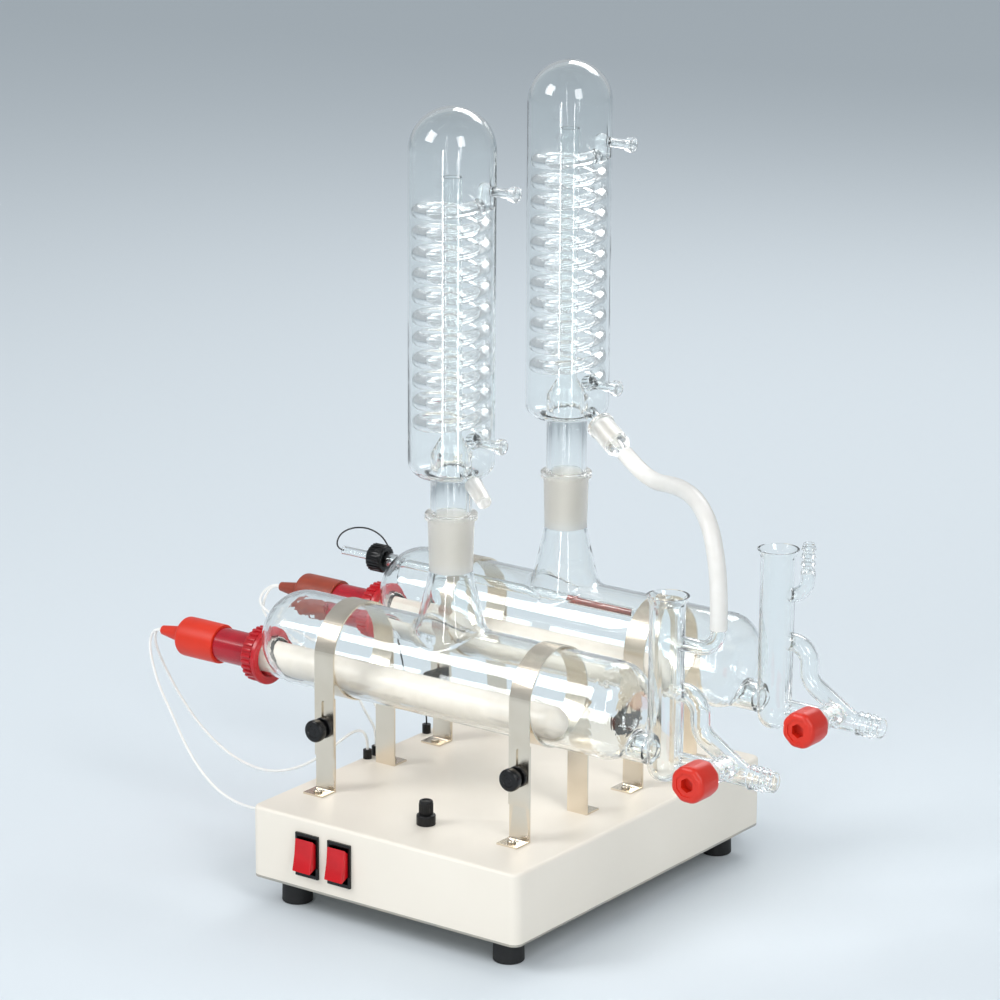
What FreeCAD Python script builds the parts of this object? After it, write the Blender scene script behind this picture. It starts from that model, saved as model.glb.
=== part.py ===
import FreeCAD, Part
import math
import os

V = FreeCAD.Vector
X_AXIS = V(1, 0, 0)
Y_AXIS = V(0, 1, 0)
Z_AXIS = V(0, 0, 1)

# Two places closer than this are one place.
NEAR = 0.01

# A glass double distiller on its control box. Millimetres, +Z up.
# The origin lies on the bench, under the plane through both boiler necks,
# halfway between the front and the back of the box. +X runs along the
# boilers towards the stopcocks, and +Y from the switches to the back.

# Control box
BOX_LENGTH = 272.0
BOX_DEPTH = 360.0
BOX_HEIGHT = 62.0
BOX_SHIFT = 9.0
COVER_SHEET = 1.5
TOP_DRILL_BELOW = 4.0
PLATE_SHEET = 2.0
BOX_CORNER_ROUND = 8.0
BOX_EDGE_ROUND = 3.0
FOOT_HEIGHT = 24.0
FOOT_DIAMETER = 26.0
FOOT_INSET = 27.0
FOOT_RECESS_DIAMETER = 13.0
FOOT_FLOOR = 8.0
FOOT_SCREW_DIAMETER = 5.0
FOOT_SCREW_HEAD = 10.0
FOOT_SCREW_HEAD_HEIGHT = 3.5
POST_DIAMETER = 11.0
POST_THREAD_DEPTH = 18.0

# Rocker switches on the front
BEZEL_WIDTH = 23.5
BEZEL_HEIGHT = 37.5
BEZEL_PROUD = 2.0
BEZEL_FRAME = 2.1
BEZEL_RIM = 3.0
BEZEL_BODY_INSET = 0.8
BEZEL_BODY_DEPTH = 22.0
BEZEL_POCKET_DEPTH = 13.0
ROCKER_HEIGHT = 28.0
ROCKER_SIDE_GAP = 0.4
ROCKER_TILT = 9.0
ROCKER_PROUD = 7.5
ROCKER_DISH = 0.9
ROCKER_BACK = 3.5
ROCKER_PIN_DIAMETER = 3.0
ROCKER_PIN_REACH = 1.0
SWITCH_HEIGHT = 31.0
SWITCH_FIRST = 60.0
SWITCH_PITCH = 33.5

# Fuse holder on the top
FUSE_FROM_CENTRE = 7.3
FUSE_FROM_FRONT = 51.0
FUSE_COLLAR_DIAMETER = 16.0
FUSE_COLLAR_HEIGHT = 9.0
FUSE_BARREL_DIAMETER = 12.0
FUSE_BARREL_DEPTH = 34.0
FUSE_BORE = 8.4
FUSE_CAP_HEIGHT = 12.0
FUSE_CAP_ROUND = 1.0
FUSE_SLOT_LENGTH = 10.0
FUSE_SLOT_WIDTH = 1.2
FUSE_SLOT_DEPTH = 1.6
FUSE_PLUG_LENGTH = 9.0
FUSE_LINK_DIAMETER = 5.0
FUSE_LINK_LENGTH = 20.0
FUSE_NUT_ACROSS = 18.0
FUSE_NUT_HEIGHT = 3.0

# Wire glands, mains inlet and terminal block
GLAND_DIAMETER = 7.6
GLAND_HEIGHT = 8.0
GLAND_STEM = 5.0
GLAND_STEM_DEPTH = 6.0
GLAND_EDGE = 5.5
GLAND_PITCH = 12.0
GLAND_FIRST = 150.0
SIDE_GLAND_FROM_FRONT = 66.0
SIDE_GLAND_DROP = 31.0
PROBE_GLAND_FROM_FRONT = 234.0
INLET_WIDTH = 28.0
INLET_HEIGHT = 22.0
INLET_FLANGE = 3.0
INLET_PROUD = 2.5
INLET_DEPTH = 24.0
INLET_POCKET_DEPTH = 17.0
INLET_SIDE = 70.0
INLET_BLADE = 5.0
INLET_BLADE_THICKNESS = 2.0
INLET_BLADE_LENGTH = 14.0
INLET_BLADE_SPREAD = 7.0
INLET_BLADE_OFFSET = 2.0
INLET_WALL = 2.5
BLOCK_LENGTH = 66.0
BLOCK_WIDTH = 20.0
BLOCK_HEIGHT = 17.0
BLOCK_POLES = 6
BLOCK_SCREW_HOLE = 4.0
BLOCK_FROM_FRONT = 190.0

# Boilers: two equal glass cylinders
BOILER_DIAMETER = 81.0
BOILER_LENGTH = 372.0
BOILER_WALL = 2.5
BOILER_AXIS_ABOVE_BOX = 114.0
FRONT_BOILER_Y = -74.0
REAR_BOILER_Y = 89.0
LEFT_END_ROUND = 34.0
RIGHT_END_ROUND = 24.0
NECK_RISE = 136.5
NECK_MOUTH = 34.5
NECK_TAPER_LENGTH = 45.0
NECK_TAPER = 0.1
NECK_WALL = 2.0
NECK_RIM_DIAMETER = 43.6
NECK_RIM_HEIGHT = 6.0
NECK_LOW_DIAMETER = 36.0
NECK_LOW_RISE = 86.0
NECK_FLARE_DIAMETER = 54.0
NECK_FLARE_RISE = 47.0
NECK_SKIRT_DIAMETER = 61.0
NECK_SKIRT_RISE = 36.0
NECK_LOW_BLEND = 30.0
NECK_JUNCTION_BLEND = 8.0
NECK_INNER_BLEND_SHARE = 0.8

# Heaters, in the lower half of each boiler
HEATER_DROP = 24.0
SHEATH_DIAMETER = 28.0
SHEATH_WALL = 1.5
SHEATH_REACH = 320.0
CORE_DIAMETER = 22.0
CORE_SHORTER = 24.0
HEATER_NECK_DIAMETER = 34.0
HEATER_NECK_BORE = 28.6
HEATER_NECK_LENGTH = 14.0
SEAL_LENGTH = 3.0
NUT_DIAMETER = 48.0
NUT_RIB_DIAMETER = 3.0
NUT_RIBS = 24
NUT_LENGTH = 17.0
NUT_END_WALL = 4.0
NUT_ROUND = 1.2
NUT_GAP = 0.3
SLEEVE_DIAMETER = 29.6
SLEEVE_LENGTH = 41.0
HOOD_DIAMETER = 34.6
HOOD_LENGTH = 42.0
HOOD_ROUND = 3.0
CONE_BASE_DIAMETER = 15.0
CONE_TIP_DIAMETER = 8.0
CONE_LENGTH = 26.0
LEAD_DIAMETER = 2.4
LEAD_SPACING = 3.4

# Level probe, in the upper half of the rear boiler
PROBE_RISE = 23.0
PROBE_NECK_DIAMETER = 12.4
PROBE_NECK_BORE = 8.6
PROBE_NECK_LENGTH = 19.0
PROBE_TUBE_DIAMETER = 8.0
PROBE_TUBE_WALL = 1.0
PROBE_TUBE_OUTSIDE = 54.0
PROBE_TUBE_REACH = 258.0
PROBE_TIP_DIAMETER = 5.6
PROBE_TIP_LENGTH = 66.0
PROBE_CAP_DIAMETER = 24.0
PROBE_CAP_LENGTH = 15.0
PROBE_CAP_WALL = 2.5
PROBE_CAP_RIBS = 20
PROBE_CAP_RIB_DIAMETER = 2.0
PROBE_CAP_RIB_INSET = 1.5
PROBE_CAP_ROUND = 0.8
PROBE_WIRE_DIAMETER = 1.4

# Straps over the boilers
STRAP_SPAN = 200.0
STRAP_WIDTH = 20.0
STRAP_SHEET = 1.5
STRAP_GAP = 0.3
STRAP_FOOT_LENGTH = 16.0
STRAP_SCREW_REACH = 8.5
STRAP_SCREW_DIAMETER = 4.0
STRAP_SCREW_HEAD = 7.5
STRAP_SCREW_HEAD_HEIGHT = 2.4
STRAP_SCREW_HEAD_ROUND = 1.0
STRAP_SCREW_LENGTH = 9.0
STRAP_BAND_END = 30.0
STRAP_BRACKET_TOP = 82.0
STRAP_SLOT_WIDTH = 5.4
STRAP_SLOT_LENGTH = 26.0
SADDLE_SHEET = 1.2
SADDLE_START_SHARE = 0.15
KNOB_ABOVE_BOX = 56.0
KNOB_HEAD_DIAMETER = 19.0
KNOB_HEAD_LENGTH = 7.0
KNOB_NECK_DIAMETER = 11.0
KNOB_NECK_LENGTH = 5.0
KNOB_FLANGE_DIAMETER = 18.0
KNOB_FLANGE_LENGTH = 3.0
KNOB_ROUND = 1.5
KNOB_STUD_DIAMETER = 5.0
KNOB_STUD_REACH = 9.0
CLAMP_NUT_ACROSS = 9.0
CLAMP_NUT_HEIGHT = 4.0
STUD_CLEARANCE = 0.05

# Level devices at the right ends of the boilers
LEVEL_BEYOND_BOILER = 27.0
LEVEL_TUBE_DIAMETER = 29.0
LEVEL_WALL = 2.0
LEVEL_TOP = 305.0
LEVEL_BOTTOM = 150.0
LEVEL_RIM_DIAMETER = 35.0
LEVEL_RIM_HEIGHT = 7.0
LINK_DROP = 26.0
LINK_SOCKET_DIAMETER = 25.0
LINK_BORE = 19.2
LINK_GAP = 0.05
LINK_OVERLAP = 16.0
LINK_SOCKET_LENGTH = 12.0
LINK_SOCKET_BLEND = 3.0
ARM_DIAMETER = 12.0
ARM_WALL = 1.6
ARM_RISE = 268.0
ARM_BEND = 17.0
FRONT_ARM_REACH = 48.0
REAR_ARM_REACH = 29.0
FRONT_ARM_TOP = 286.0
REAR_ARM_TOP = 315.0
SPIGOT_DIAMETER = 9.0
SPIGOT_LENGTH = 14.0
BARB_DIAMETER = 12.6
BARB_COUNT = 4
BARB_PITCH = 6.5
BARB_SHARE = 0.8
OVERFLOW_DIAMETER = 16.0
OVERFLOW_WALL = 1.5
OVERFLOW_RISE = 228.0
OVERFLOW_OUT = 33.0
OVERFLOW_TURN_RISE = 198.0
OVERFLOW_JOIN = 76.0
OVERFLOW_BEND = 16.0
DRAIN_RISE = 171.0
DRAIN_DIAMETER = 17.0
DRAIN_WALL = 1.7
DRAIN_INLET_DIAMETER = 13.0
DRAIN_END = 103.0
DRAIN_BARB_DIAMETER = 20.5
DRAIN_BARB_COUNT = 3
DRAIN_BARB_PITCH = 6.0
DRAIN_LIP = 4.0
STOPCOCK_OUT = 52.0
BARREL_DIAMETER = 19.0
BARREL_FRONT = 13.0
BARREL_BACK = 12.0
BARREL_CLEARANCE = 0.5
KEY_DIAMETER = 12.0
KEY_GAP = 0.05
KEY_COLLAR_DIAMETER = 18.0
KEY_COLLAR_LENGTH = 9.0
KEY_PORT = 5.0
KEY_SPINDLE_DIAMETER = 8.0
KEY_SPINDLE_LENGTH = 18.0
KEY_TAIL = 3.0
COCK_KNOB_DIAMETER = 31.0
COCK_KNOB_LENGTH = 26.0
COCK_KNOB_ROUND = 2.0
COCK_SOCKET_ACROSS = 10.0
COCK_SOCKET_DEPTH = 6.0

# Condensers
JACKET_DIAMETER = 71.0
JACKET_WALL = 2.2
JACKET_LENGTH = 303.0
JACKET_FOOT_ROUND = 12.0
FRONT_JACKET_ABOVE_NECK = 31.5
REAR_JACKET_ABOVE_NECK = 47.5
STEM_WALL = 2.0
CONE_GAP = 0.05
WEIR_HEIGHT = 16.0
RISER_DIAMETER = 16.0
RISER_WALL = 1.2
RISER_LENGTH = 246.0
COIL_TUBE = 12.0
COIL_DIAMETER = 65.0
COIL_PITCH = 17.4
COIL_TURNS = 11
COIL_START = 34.0
QUARTERS = 4
NIPPLE_DIAMETER = 8.0
NIPPLE_BORE = 4.0
NIPPLE_REACH = 58.0
NIPPLE_TOP = 237.0
NIPPLE_BEAD_DIAMETER = 13.0
NIPPLE_BEAD_LENGTH = 5.0
NIPPLE_BORE_DEPTH = 26.0
ELBOW_DIAMETER = 13.0
ELBOW_LENGTH = 8.0
OUTLET_RISE = 10.0
FRONT_OUTLET_TURN = -32.0
FRONT_OUTLET_FALL = 20.0
REAR_OUTLET_TURN = -20.0
REAR_OUTLET_FALL = 25.0
OUTLET_TUBE_DIAMETER = 12.0
OUTLET_CONE_START = 14.0
OUTLET_CONE_LENGTH = 26.0
OUTLET_CONE_DIAMETER = 14.6
OUTLET_BORE = 9.0
ADAPTER_SOCKET_DIAMETER = 21.5
ADAPTER_SOCKET_LENGTH = 30.0
ADAPTER_RIM_DIAMETER = 24.0
ADAPTER_RIM_LENGTH = 4.0
ADAPTER_SHOULDER = 10.0
ADAPTER_BORE = 6.0

# Silicone hose between the rear outlet and the front level device
HOSE_DIAMETER = 14.0

# Places worked out from the sizes above
BOX_LEFT = BOX_SHIFT - BOX_LENGTH / 2
BOX_RIGHT = BOX_SHIFT + BOX_LENGTH / 2
BOX_FRONT = -BOX_DEPTH / 2
BOX_BACK = BOX_DEPTH / 2
PLATE_TOP = FOOT_HEIGHT + PLATE_SHEET
BOX_TOP = FOOT_HEIGHT + BOX_HEIGHT
AXIS_Z = BOX_TOP + BOILER_AXIS_ABOVE_BOX
BOILER_RADIUS = BOILER_DIAMETER / 2
BOILER_END = BOILER_LENGTH / 2
LEVEL_X = BOILER_END + LEVEL_BEYOND_BOILER
HEATER_Z = AXIS_Z - HEATER_DROP
HEATER_NECK_END = -BOILER_END - HEATER_NECK_LENGTH
SEAL_END = HEATER_NECK_END - SEAL_LENGTH
NUT_LEFT = SEAL_END - NUT_END_WALL
SLEEVE_RIGHT = SEAL_END - 0.5
SLEEVE_LEFT = SLEEVE_RIGHT - SLEEVE_LENGTH
HOOD_LEFT = SLEEVE_LEFT - HOOD_LENGTH
TIP_X = HOOD_LEFT - CONE_LENGTH
PROBE_Z = AXIS_Z + PROBE_RISE
PROBE_NECK_END = -BOILER_END - PROBE_NECK_LENGTH
NECK_TOP = AXIS_Z + NECK_RISE
STRAP_INNER = BOILER_RADIUS + STRAP_GAP
STRAP_OUTER = STRAP_INNER + STRAP_SHEET
BOILERS = {"front": FRONT_BOILER_Y, "rear": REAR_BOILER_Y}
STRAP_SIDES = {"left": -STRAP_SPAN / 2, "right": STRAP_SPAN / 2}
JACKET_BOTTOM = {
    "front": NECK_TOP + FRONT_JACKET_ABOVE_NECK,
    "rear": NECK_TOP + REAR_JACKET_ABOVE_NECK,
}
OUTLET_AIM = {
    "front": (FRONT_OUTLET_TURN, FRONT_OUTLET_FALL),
    "rear": (REAR_OUTLET_TURN, REAR_OUTLET_FALL),
}
ARM_REACH = {"front": FRONT_ARM_REACH, "rear": REAR_ARM_REACH}
ARM_TOP = {"front": FRONT_ARM_TOP, "rear": REAR_ARM_TOP}


# Small building blocks


def box(x0, x1, y0, y1, z0, z1):
    """A block between two opposite corners."""
    return Part.makeBox(x1 - x0, y1 - y0, z1 - z0, V(x0, y0, z0))


def rod(start, along, radius, length):
    """A round bar from a point along a direction."""
    return Part.makeCylinder(radius, length, start, along)


def taper(start, along, first, last, length):
    """A round bar whose radius changes from first to last."""
    if abs(first - last) < 1e-6:
        return rod(start, along, first, length)
    return Part.makeCone(first, last, length, start, along)


def spun(points, start, along):
    """A solid of revolution: points are (distance along the axis, radius)."""
    wire = Part.makePolygon([V(r, 0, s) for s, r in points + points[:1]])
    solid = Part.Face(wire).revolve(V(0, 0, 0), Z_AXIS, 360)
    turn = FreeCAD.Rotation(Z_AXIS, along)
    solid.Placement = FreeCAD.Placement(start, turn)
    return solid


def edges_at(shape, test):
    """The edges whose centre of mass passes a test."""
    return [e for e in shape.Edges if test(e.CenterOfMass)]


def round_ends(solid, axis_value, round_low, round_high):
    """Rounds the two end circles of a bar that lies along X."""
    ends = [e for e in solid.Edges if len(e.Vertexes) == 1]
    low = [e for e in ends if e.CenterOfMass.x < axis_value]
    solid = solid.makeFillet(round_low, low)
    high = [
        e
        for e in solid.Edges
        if len(e.Vertexes) == 1 and e.CenterOfMass.x > axis_value
    ]
    return solid.makeFillet(round_high, high)


def union(shapes):
    """Joins solids into one, with its seams cleaned."""
    whole = shapes[0].fuse(shapes[1:]) if len(shapes) > 1 else shapes[0]
    return whole.removeSplitter()


def arc_wire(points, radii):
    """Straight runs through points, joined by tangent arcs."""
    edges = []
    last = points[0]
    for before, corner, after, radius in zip(points, points[1:], points[2:], radii):
        a = (before - corner).normalize()
        b = (after - corner).normalize()
        half = a.getAngle(b) / 2
        reach = radius / math.tan(half)
        first = corner + a * reach
        second = corner + b * reach
        middle_way = (a + b).normalize()
        centre = corner + middle_way * (radius / math.sin(half))
        middle = centre - middle_way * radius
        if (first - last).Length > 1e-6:
            edges.append(Part.LineSegment(last, first).toShape())
        edges.append(Part.Arc(first, middle, second).toShape())
        last = second
    edges.append(Part.LineSegment(last, points[-1]).toShape())
    return Part.Wire(edges)


def tube_along(wire, start, along, radius):
    """A round solid swept along a wire from its start."""
    ring = Part.Wire([Part.makeCircle(radius, start, along)])
    shell = Part.BRepOffsetAPI.MakePipeShell(wire)
    shell.add(ring)
    shell.build()
    shell.makeSolid()
    return Part.Solid(shell.shape().Solids[0])


def bent_bar(points, bend, radius):
    """A round bar through points with one bend radius."""
    wire = arc_wire(points, [bend] * (len(points) - 2))
    return tube_along(wire, points[0], points[1] - points[0], radius)


def cord_radii(points):
    """The largest arc that each turn's two runs allow."""
    radii = []
    for before, corner, after in zip(points, points[1:], points[2:]):
        a = (before - corner).normalize()
        b = (after - corner).normalize()
        half_turn = (math.pi - a.getAngle(b)) / 2
        shorter = min((before - corner).Length, (after - corner).Length)
        radii.append(0.45 * shorter / math.tan(half_turn))
    return radii


def cord(name, points, diameter):
    """A cord's tube; prints its radii and compares its volume with its length."""
    radii = cord_radii(points)
    wire = arc_wire(points, radii)
    solid = tube_along(wire, points[0], points[1] - points[0], diameter / 2)
    expected = math.pi * diameter * diameter / 4 * wire.Length
    print(
        name,
        "length", round(wire.Length, 1),
        "least radius", round(min(radii), 1), "of", diameter,
        "volume share", round(solid.Volume / expected, 4),
    )
    return solid


def ribs(axis_start, along, side, radius, rib_radius, length, count):
    """Round ribs set on a circle, parallel to an axis."""
    bars = []
    for i in range(count):
        spoke = FreeCAD.Rotation(along, 360.0 * i / count).multVec(side)
        bars.append(rod(axis_start + spoke * radius, along, rib_radius, length))
    return bars


def save(name, shape):
    """Writes one named node."""
    shape.exportStep("parts/" + name + ".step")
    print(name, "solids", len(shape.Solids), "valid", shape.isValid())


# Control box


def rounded_block(inset, bottom, top, corner):
    """The box's outline moved inwards, with round upright corners."""
    block = box(
        BOX_LEFT + inset,
        BOX_RIGHT - inset,
        BOX_FRONT + inset,
        BOX_BACK - inset,
        bottom,
        top,
    )
    middle = (bottom + top) / 2
    upright = edges_at(block, lambda c: abs(c.z - middle) < NEAR)
    return block.makeFillet(corner, upright)


def foot_places():
    """The four feet's centres on the bench."""
    return [
        V(x, y, 0)
        for x in (BOX_LEFT + FOOT_INSET, BOX_RIGHT - FOOT_INSET)
        for y in (BOX_FRONT + FOOT_INSET, BOX_BACK - FOOT_INSET)
    ]


def switch_centres():
    """The two switches' centres on the front face."""
    return {
        "left": V(BOX_LEFT + SWITCH_FIRST, BOX_FRONT, PLATE_TOP - PLATE_SHEET + SWITCH_HEIGHT),
        "right": V(
            BOX_LEFT + SWITCH_FIRST + SWITCH_PITCH,
            BOX_FRONT,
            PLATE_TOP - PLATE_SHEET + SWITCH_HEIGHT,
        ),
    }


def fuse_centre():
    """Where the fuse holder stands on the top."""
    return V(BOX_SHIFT + FUSE_FROM_CENTRE, BOX_FRONT + FUSE_FROM_FRONT, BOX_TOP)


def top_gland_centres():
    """Three heater glands in a row and the probe's gland, on the top's left edge."""
    x = BOX_LEFT + GLAND_EDGE
    row = [
        V(x, BOX_FRONT + GLAND_FIRST + GLAND_PITCH * i, BOX_TOP) for i in range(3)
    ]
    return row + [V(x, BOX_FRONT + PROBE_GLAND_FROM_FRONT, BOX_TOP)]


def side_gland_centre():
    """The gland in the left wall."""
    return V(BOX_LEFT, BOX_FRONT + SIDE_GLAND_FROM_FRONT, BOX_TOP - SIDE_GLAND_DROP)


def inlet_centre():
    """The mains inlet in the back wall."""
    return V(BOX_SHIFT + INLET_SIDE, BOX_BACK, (PLATE_TOP + BOX_TOP) / 2)


def strap_screw_places():
    """The eight strap foot screws on the box's top."""
    reach = STRAP_OUTER + STRAP_SCREW_REACH
    return [
        V(x, y + side * reach, BOX_TOP)
        for y in BOILERS.values()
        for x in STRAP_SIDES.values()
        for side in (-1, 1)
    ]


def base_cover():
    """The painted cover: a shell open below, with its holes and welded posts."""
    outer = rounded_block(0, PLATE_TOP, BOX_TOP, BOX_CORNER_ROUND)
    top_edges = edges_at(outer, lambda c: c.z > BOX_TOP - NEAR)
    outer = outer.makeFillet(BOX_EDGE_ROUND, top_edges)
    inner = rounded_block(
        COVER_SHEET, PLATE_TOP - 1, BOX_TOP - COVER_SHEET, BOX_CORNER_ROUND - COVER_SHEET
    )
    shell = outer.cut(inner)
    posts = [
        rod(V(p.x, p.y, PLATE_TOP), Z_AXIS, POST_DIAMETER / 2, BOX_TOP - COVER_SHEET / 2 - PLATE_TOP)
        for p in foot_places()
    ]
    shell = shell.fuse(posts)
    cuts = [
        rod(V(p.x, p.y, PLATE_TOP - 1), Z_AXIS, FOOT_SCREW_DIAMETER / 2, POST_THREAD_DEPTH + 1)
        for p in foot_places()
    ]
    half_w = BEZEL_WIDTH / 2 - BEZEL_BODY_INSET
    half_h = BEZEL_HEIGHT / 2 - BEZEL_BODY_INSET
    for c in switch_centres().values():
        cuts.append(
            box(c.x - half_w, c.x + half_w, c.y - 1, c.y + COVER_SHEET + 1, c.z - half_h, c.z + half_h)
        )
    for p in strap_screw_places():
        cuts.append(rod(p - Z_AXIS * TOP_DRILL_BELOW, Z_AXIS, STRAP_SCREW_DIAMETER / 2, TOP_DRILL_BELOW + 1))
    f = fuse_centre()
    cuts.append(rod(f - Z_AXIS * TOP_DRILL_BELOW, Z_AXIS, FUSE_BARREL_DIAMETER / 2, TOP_DRILL_BELOW + 1))
    for p in top_gland_centres():
        cuts.append(rod(p - Z_AXIS * TOP_DRILL_BELOW, Z_AXIS, GLAND_STEM / 2, TOP_DRILL_BELOW + 1))
    g = side_gland_centre()
    cuts.append(rod(g - X_AXIS, X_AXIS, GLAND_STEM / 2, COVER_SHEET + 2))
    i = inlet_centre()
    cuts.append(
        box(
            i.x - INLET_WIDTH / 2, i.x + INLET_WIDTH / 2, i.y - COVER_SHEET - 1, i.y + 1,
            i.z - INLET_HEIGHT / 2, i.z + INLET_HEIGHT / 2,
        )
    )
    return shell.cut(cuts)


def base_plate():
    """The bottom plate, held by the foot screws."""
    plate = rounded_block(0, FOOT_HEIGHT, PLATE_TOP, BOX_CORNER_ROUND)
    holes = [
        rod(V(p.x, p.y, FOOT_HEIGHT - 1), Z_AXIS, FOOT_SCREW_DIAMETER / 2, PLATE_SHEET + 2)
        for p in foot_places()
    ]
    return plate.cut(holes)


def rubber_feet():
    """Four round feet, each with a recess for its screw."""
    feet = []
    for p in foot_places():
        foot = rod(p, Z_AXIS, FOOT_DIAMETER / 2, FOOT_HEIGHT)
        recess = rod(p - Z_AXIS, Z_AXIS, FOOT_RECESS_DIAMETER / 2, FOOT_HEIGHT - FOOT_FLOOR + 1)
        hole = rod(p, Z_AXIS, FOOT_SCREW_DIAMETER / 2, FOOT_HEIGHT)
        feet.append(foot.cut([recess, hole]))
    return Part.makeCompound(feet)


def foot_screws():
    """Screws that go up through feet and plate into the posts."""
    screws = []
    for p in foot_places():
        seat = p + Z_AXIS * (FOOT_HEIGHT - FOOT_FLOOR)
        under = seat - Z_AXIS * FOOT_SCREW_HEAD_HEIGHT
        head = rod(under, Z_AXIS, FOOT_SCREW_HEAD / 2, FOOT_SCREW_HEAD_HEIGHT)
        shank = rod(
            seat, Z_AXIS, FOOT_SCREW_DIAMETER / 2, FOOT_FLOOR + PLATE_SHEET + POST_THREAD_DEPTH - 2
        )
        screws.append(union([head, shank]))
    return Part.makeCompound(screws)


def switch_bezel(centre):
    """A rocker switch's black frame and body with its pocket."""
    c = centre
    body_w = BEZEL_WIDTH / 2 - BEZEL_BODY_INSET
    body_h = BEZEL_HEIGHT / 2 - BEZEL_BODY_INSET
    flange = box(
        c.x - BEZEL_WIDTH / 2, c.x + BEZEL_WIDTH / 2, c.y - BEZEL_PROUD, c.y,
        c.z - BEZEL_HEIGHT / 2, c.z + BEZEL_HEIGHT / 2,
    )
    body = box(c.x - body_w, c.x + body_w, c.y - 1, c.y + BEZEL_BODY_DEPTH, c.z - body_h, c.z + body_h)
    pocket_w = BEZEL_WIDTH / 2 - BEZEL_FRAME
    pocket_h = BEZEL_HEIGHT / 2 - BEZEL_RIM
    pocket = box(
        c.x - pocket_w, c.x + pocket_w, c.y - BEZEL_PROUD - 1, c.y + BEZEL_POCKET_DEPTH,
        c.z - pocket_h, c.z + pocket_h,
    )
    pin_half = pocket_w + ROCKER_PIN_REACH + 0.1 - ROCKER_SIDE_GAP
    pins = rod(V(c.x - pin_half, c.y, c.z), X_AXIS, ROCKER_PIN_DIAMETER / 2 + STUD_CLEARANCE, 2 * pin_half)
    return union([flange, body]).cut([pocket, pins])


def rocker(centre):
    """A red rocker, pressed in at its top, on two short pins."""
    half = BEZEL_WIDTH / 2 - BEZEL_FRAME - ROCKER_SIDE_GAP
    h = ROCKER_HEIGHT / 2
    outline = [
        (-ROCKER_PROUD, h), (-ROCKER_PROUD + ROCKER_DISH, 0), (-ROCKER_PROUD, -h),
        (-ROCKER_PROUD + 4, -h), (ROCKER_BACK, -h / 2), (ROCKER_BACK, h / 2), (-ROCKER_PROUD + 4, h),
    ]
    points = [V(centre.x - half, centre.y + y, centre.z + z) for y, z in outline]
    slab = Part.Face(Part.makePolygon(points + points[:1])).extrude(X_AXIS * (2 * half))
    pin_half = half + ROCKER_PIN_REACH
    pins = rod(V(centre.x - pin_half, centre.y, centre.z), X_AXIS, ROCKER_PIN_DIAMETER / 2, 2 * pin_half)
    whole = union([slab, pins])
    whole.rotate(centre, X_AXIS, -ROCKER_TILT)
    return whole


def fuse_body():
    """The fuse holder's collar and barrel with its bore."""
    c = fuse_centre()
    collar = rod(c, Z_AXIS, FUSE_COLLAR_DIAMETER / 2, FUSE_COLLAR_HEIGHT)
    barrel = rod(c - Z_AXIS * FUSE_BARREL_DEPTH, Z_AXIS, FUSE_BARREL_DIAMETER / 2, FUSE_BARREL_DEPTH + 1)
    bore_depth = FUSE_PLUG_LENGTH + FUSE_LINK_LENGTH
    bore = rod(
        c + Z_AXIS * (FUSE_COLLAR_HEIGHT - bore_depth), Z_AXIS, FUSE_BORE / 2, bore_depth + 1
    )
    return union([collar, barrel]).cut(bore)


def fuse_cap():
    """The fuse holder's turning cap and its plug."""
    c = fuse_centre() + Z_AXIS * FUSE_COLLAR_HEIGHT
    cap = rod(c + Z_AXIS * STUD_CLEARANCE, Z_AXIS, FUSE_BARREL_DIAMETER / 2, FUSE_CAP_HEIGHT)
    top = c.z + STUD_CLEARANCE + FUSE_CAP_HEIGHT
    cap = cap.makeFillet(FUSE_CAP_ROUND, edges_at(cap, lambda e: e.z > top - NEAR))
    plug_radius = FUSE_BORE / 2 - STUD_CLEARANCE
    plug = rod(
        c - Z_AXIS * (FUSE_PLUG_LENGTH - STUD_CLEARANCE), Z_AXIS, plug_radius, FUSE_PLUG_LENGTH + 1
    )
    slot = box(
        c.x - FUSE_SLOT_LENGTH / 2, c.x + FUSE_SLOT_LENGTH / 2,
        c.y - FUSE_SLOT_WIDTH / 2, c.y + FUSE_SLOT_WIDTH / 2, top - FUSE_SLOT_DEPTH, top + 1,
    )
    return union([cap, plug]).cut(slot)


def fuse_link():
    """The glass fuse under the cap's plug."""
    c = fuse_centre() + Z_AXIS * (FUSE_COLLAR_HEIGHT - FUSE_PLUG_LENGTH - FUSE_LINK_LENGTH)
    return rod(c, Z_AXIS, FUSE_LINK_DIAMETER / 2, FUSE_LINK_LENGTH)


def hexagon(centre, along, across, height):
    """A hexagonal bar."""
    corner = across / 2 / math.cos(math.pi / 6)
    points = []
    for i in range(7):
        angle = math.pi / 3 * i
        points.append(V(corner * math.cos(angle), corner * math.sin(angle), 0))
    bar = Part.Face(Part.makePolygon(points)).extrude(Z_AXIS * height)
    bar.Placement = FreeCAD.Placement(centre, FreeCAD.Rotation(Z_AXIS, along))
    return bar


def fuse_nut():
    """The nut that clamps the fuse holder under the cover's top."""
    c = fuse_centre() - Z_AXIS * (COVER_SHEET + FUSE_NUT_HEIGHT)
    nut = hexagon(c, Z_AXIS, FUSE_NUT_ACROSS, FUSE_NUT_HEIGHT)
    return nut.cut(rod(c - Z_AXIS, Z_AXIS, FUSE_BARREL_DIAMETER / 2, FUSE_NUT_HEIGHT + 2))


def gland(place, outwards):
    """A wire gland: round head outside, thinner stem through the sheet."""
    head = rod(place, outwards, GLAND_DIAMETER / 2, GLAND_HEIGHT)
    stem = rod(place - outwards * GLAND_STEM_DEPTH, outwards, GLAND_STEM / 2, GLAND_STEM_DEPTH + 1)
    return union([head, stem])


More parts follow.
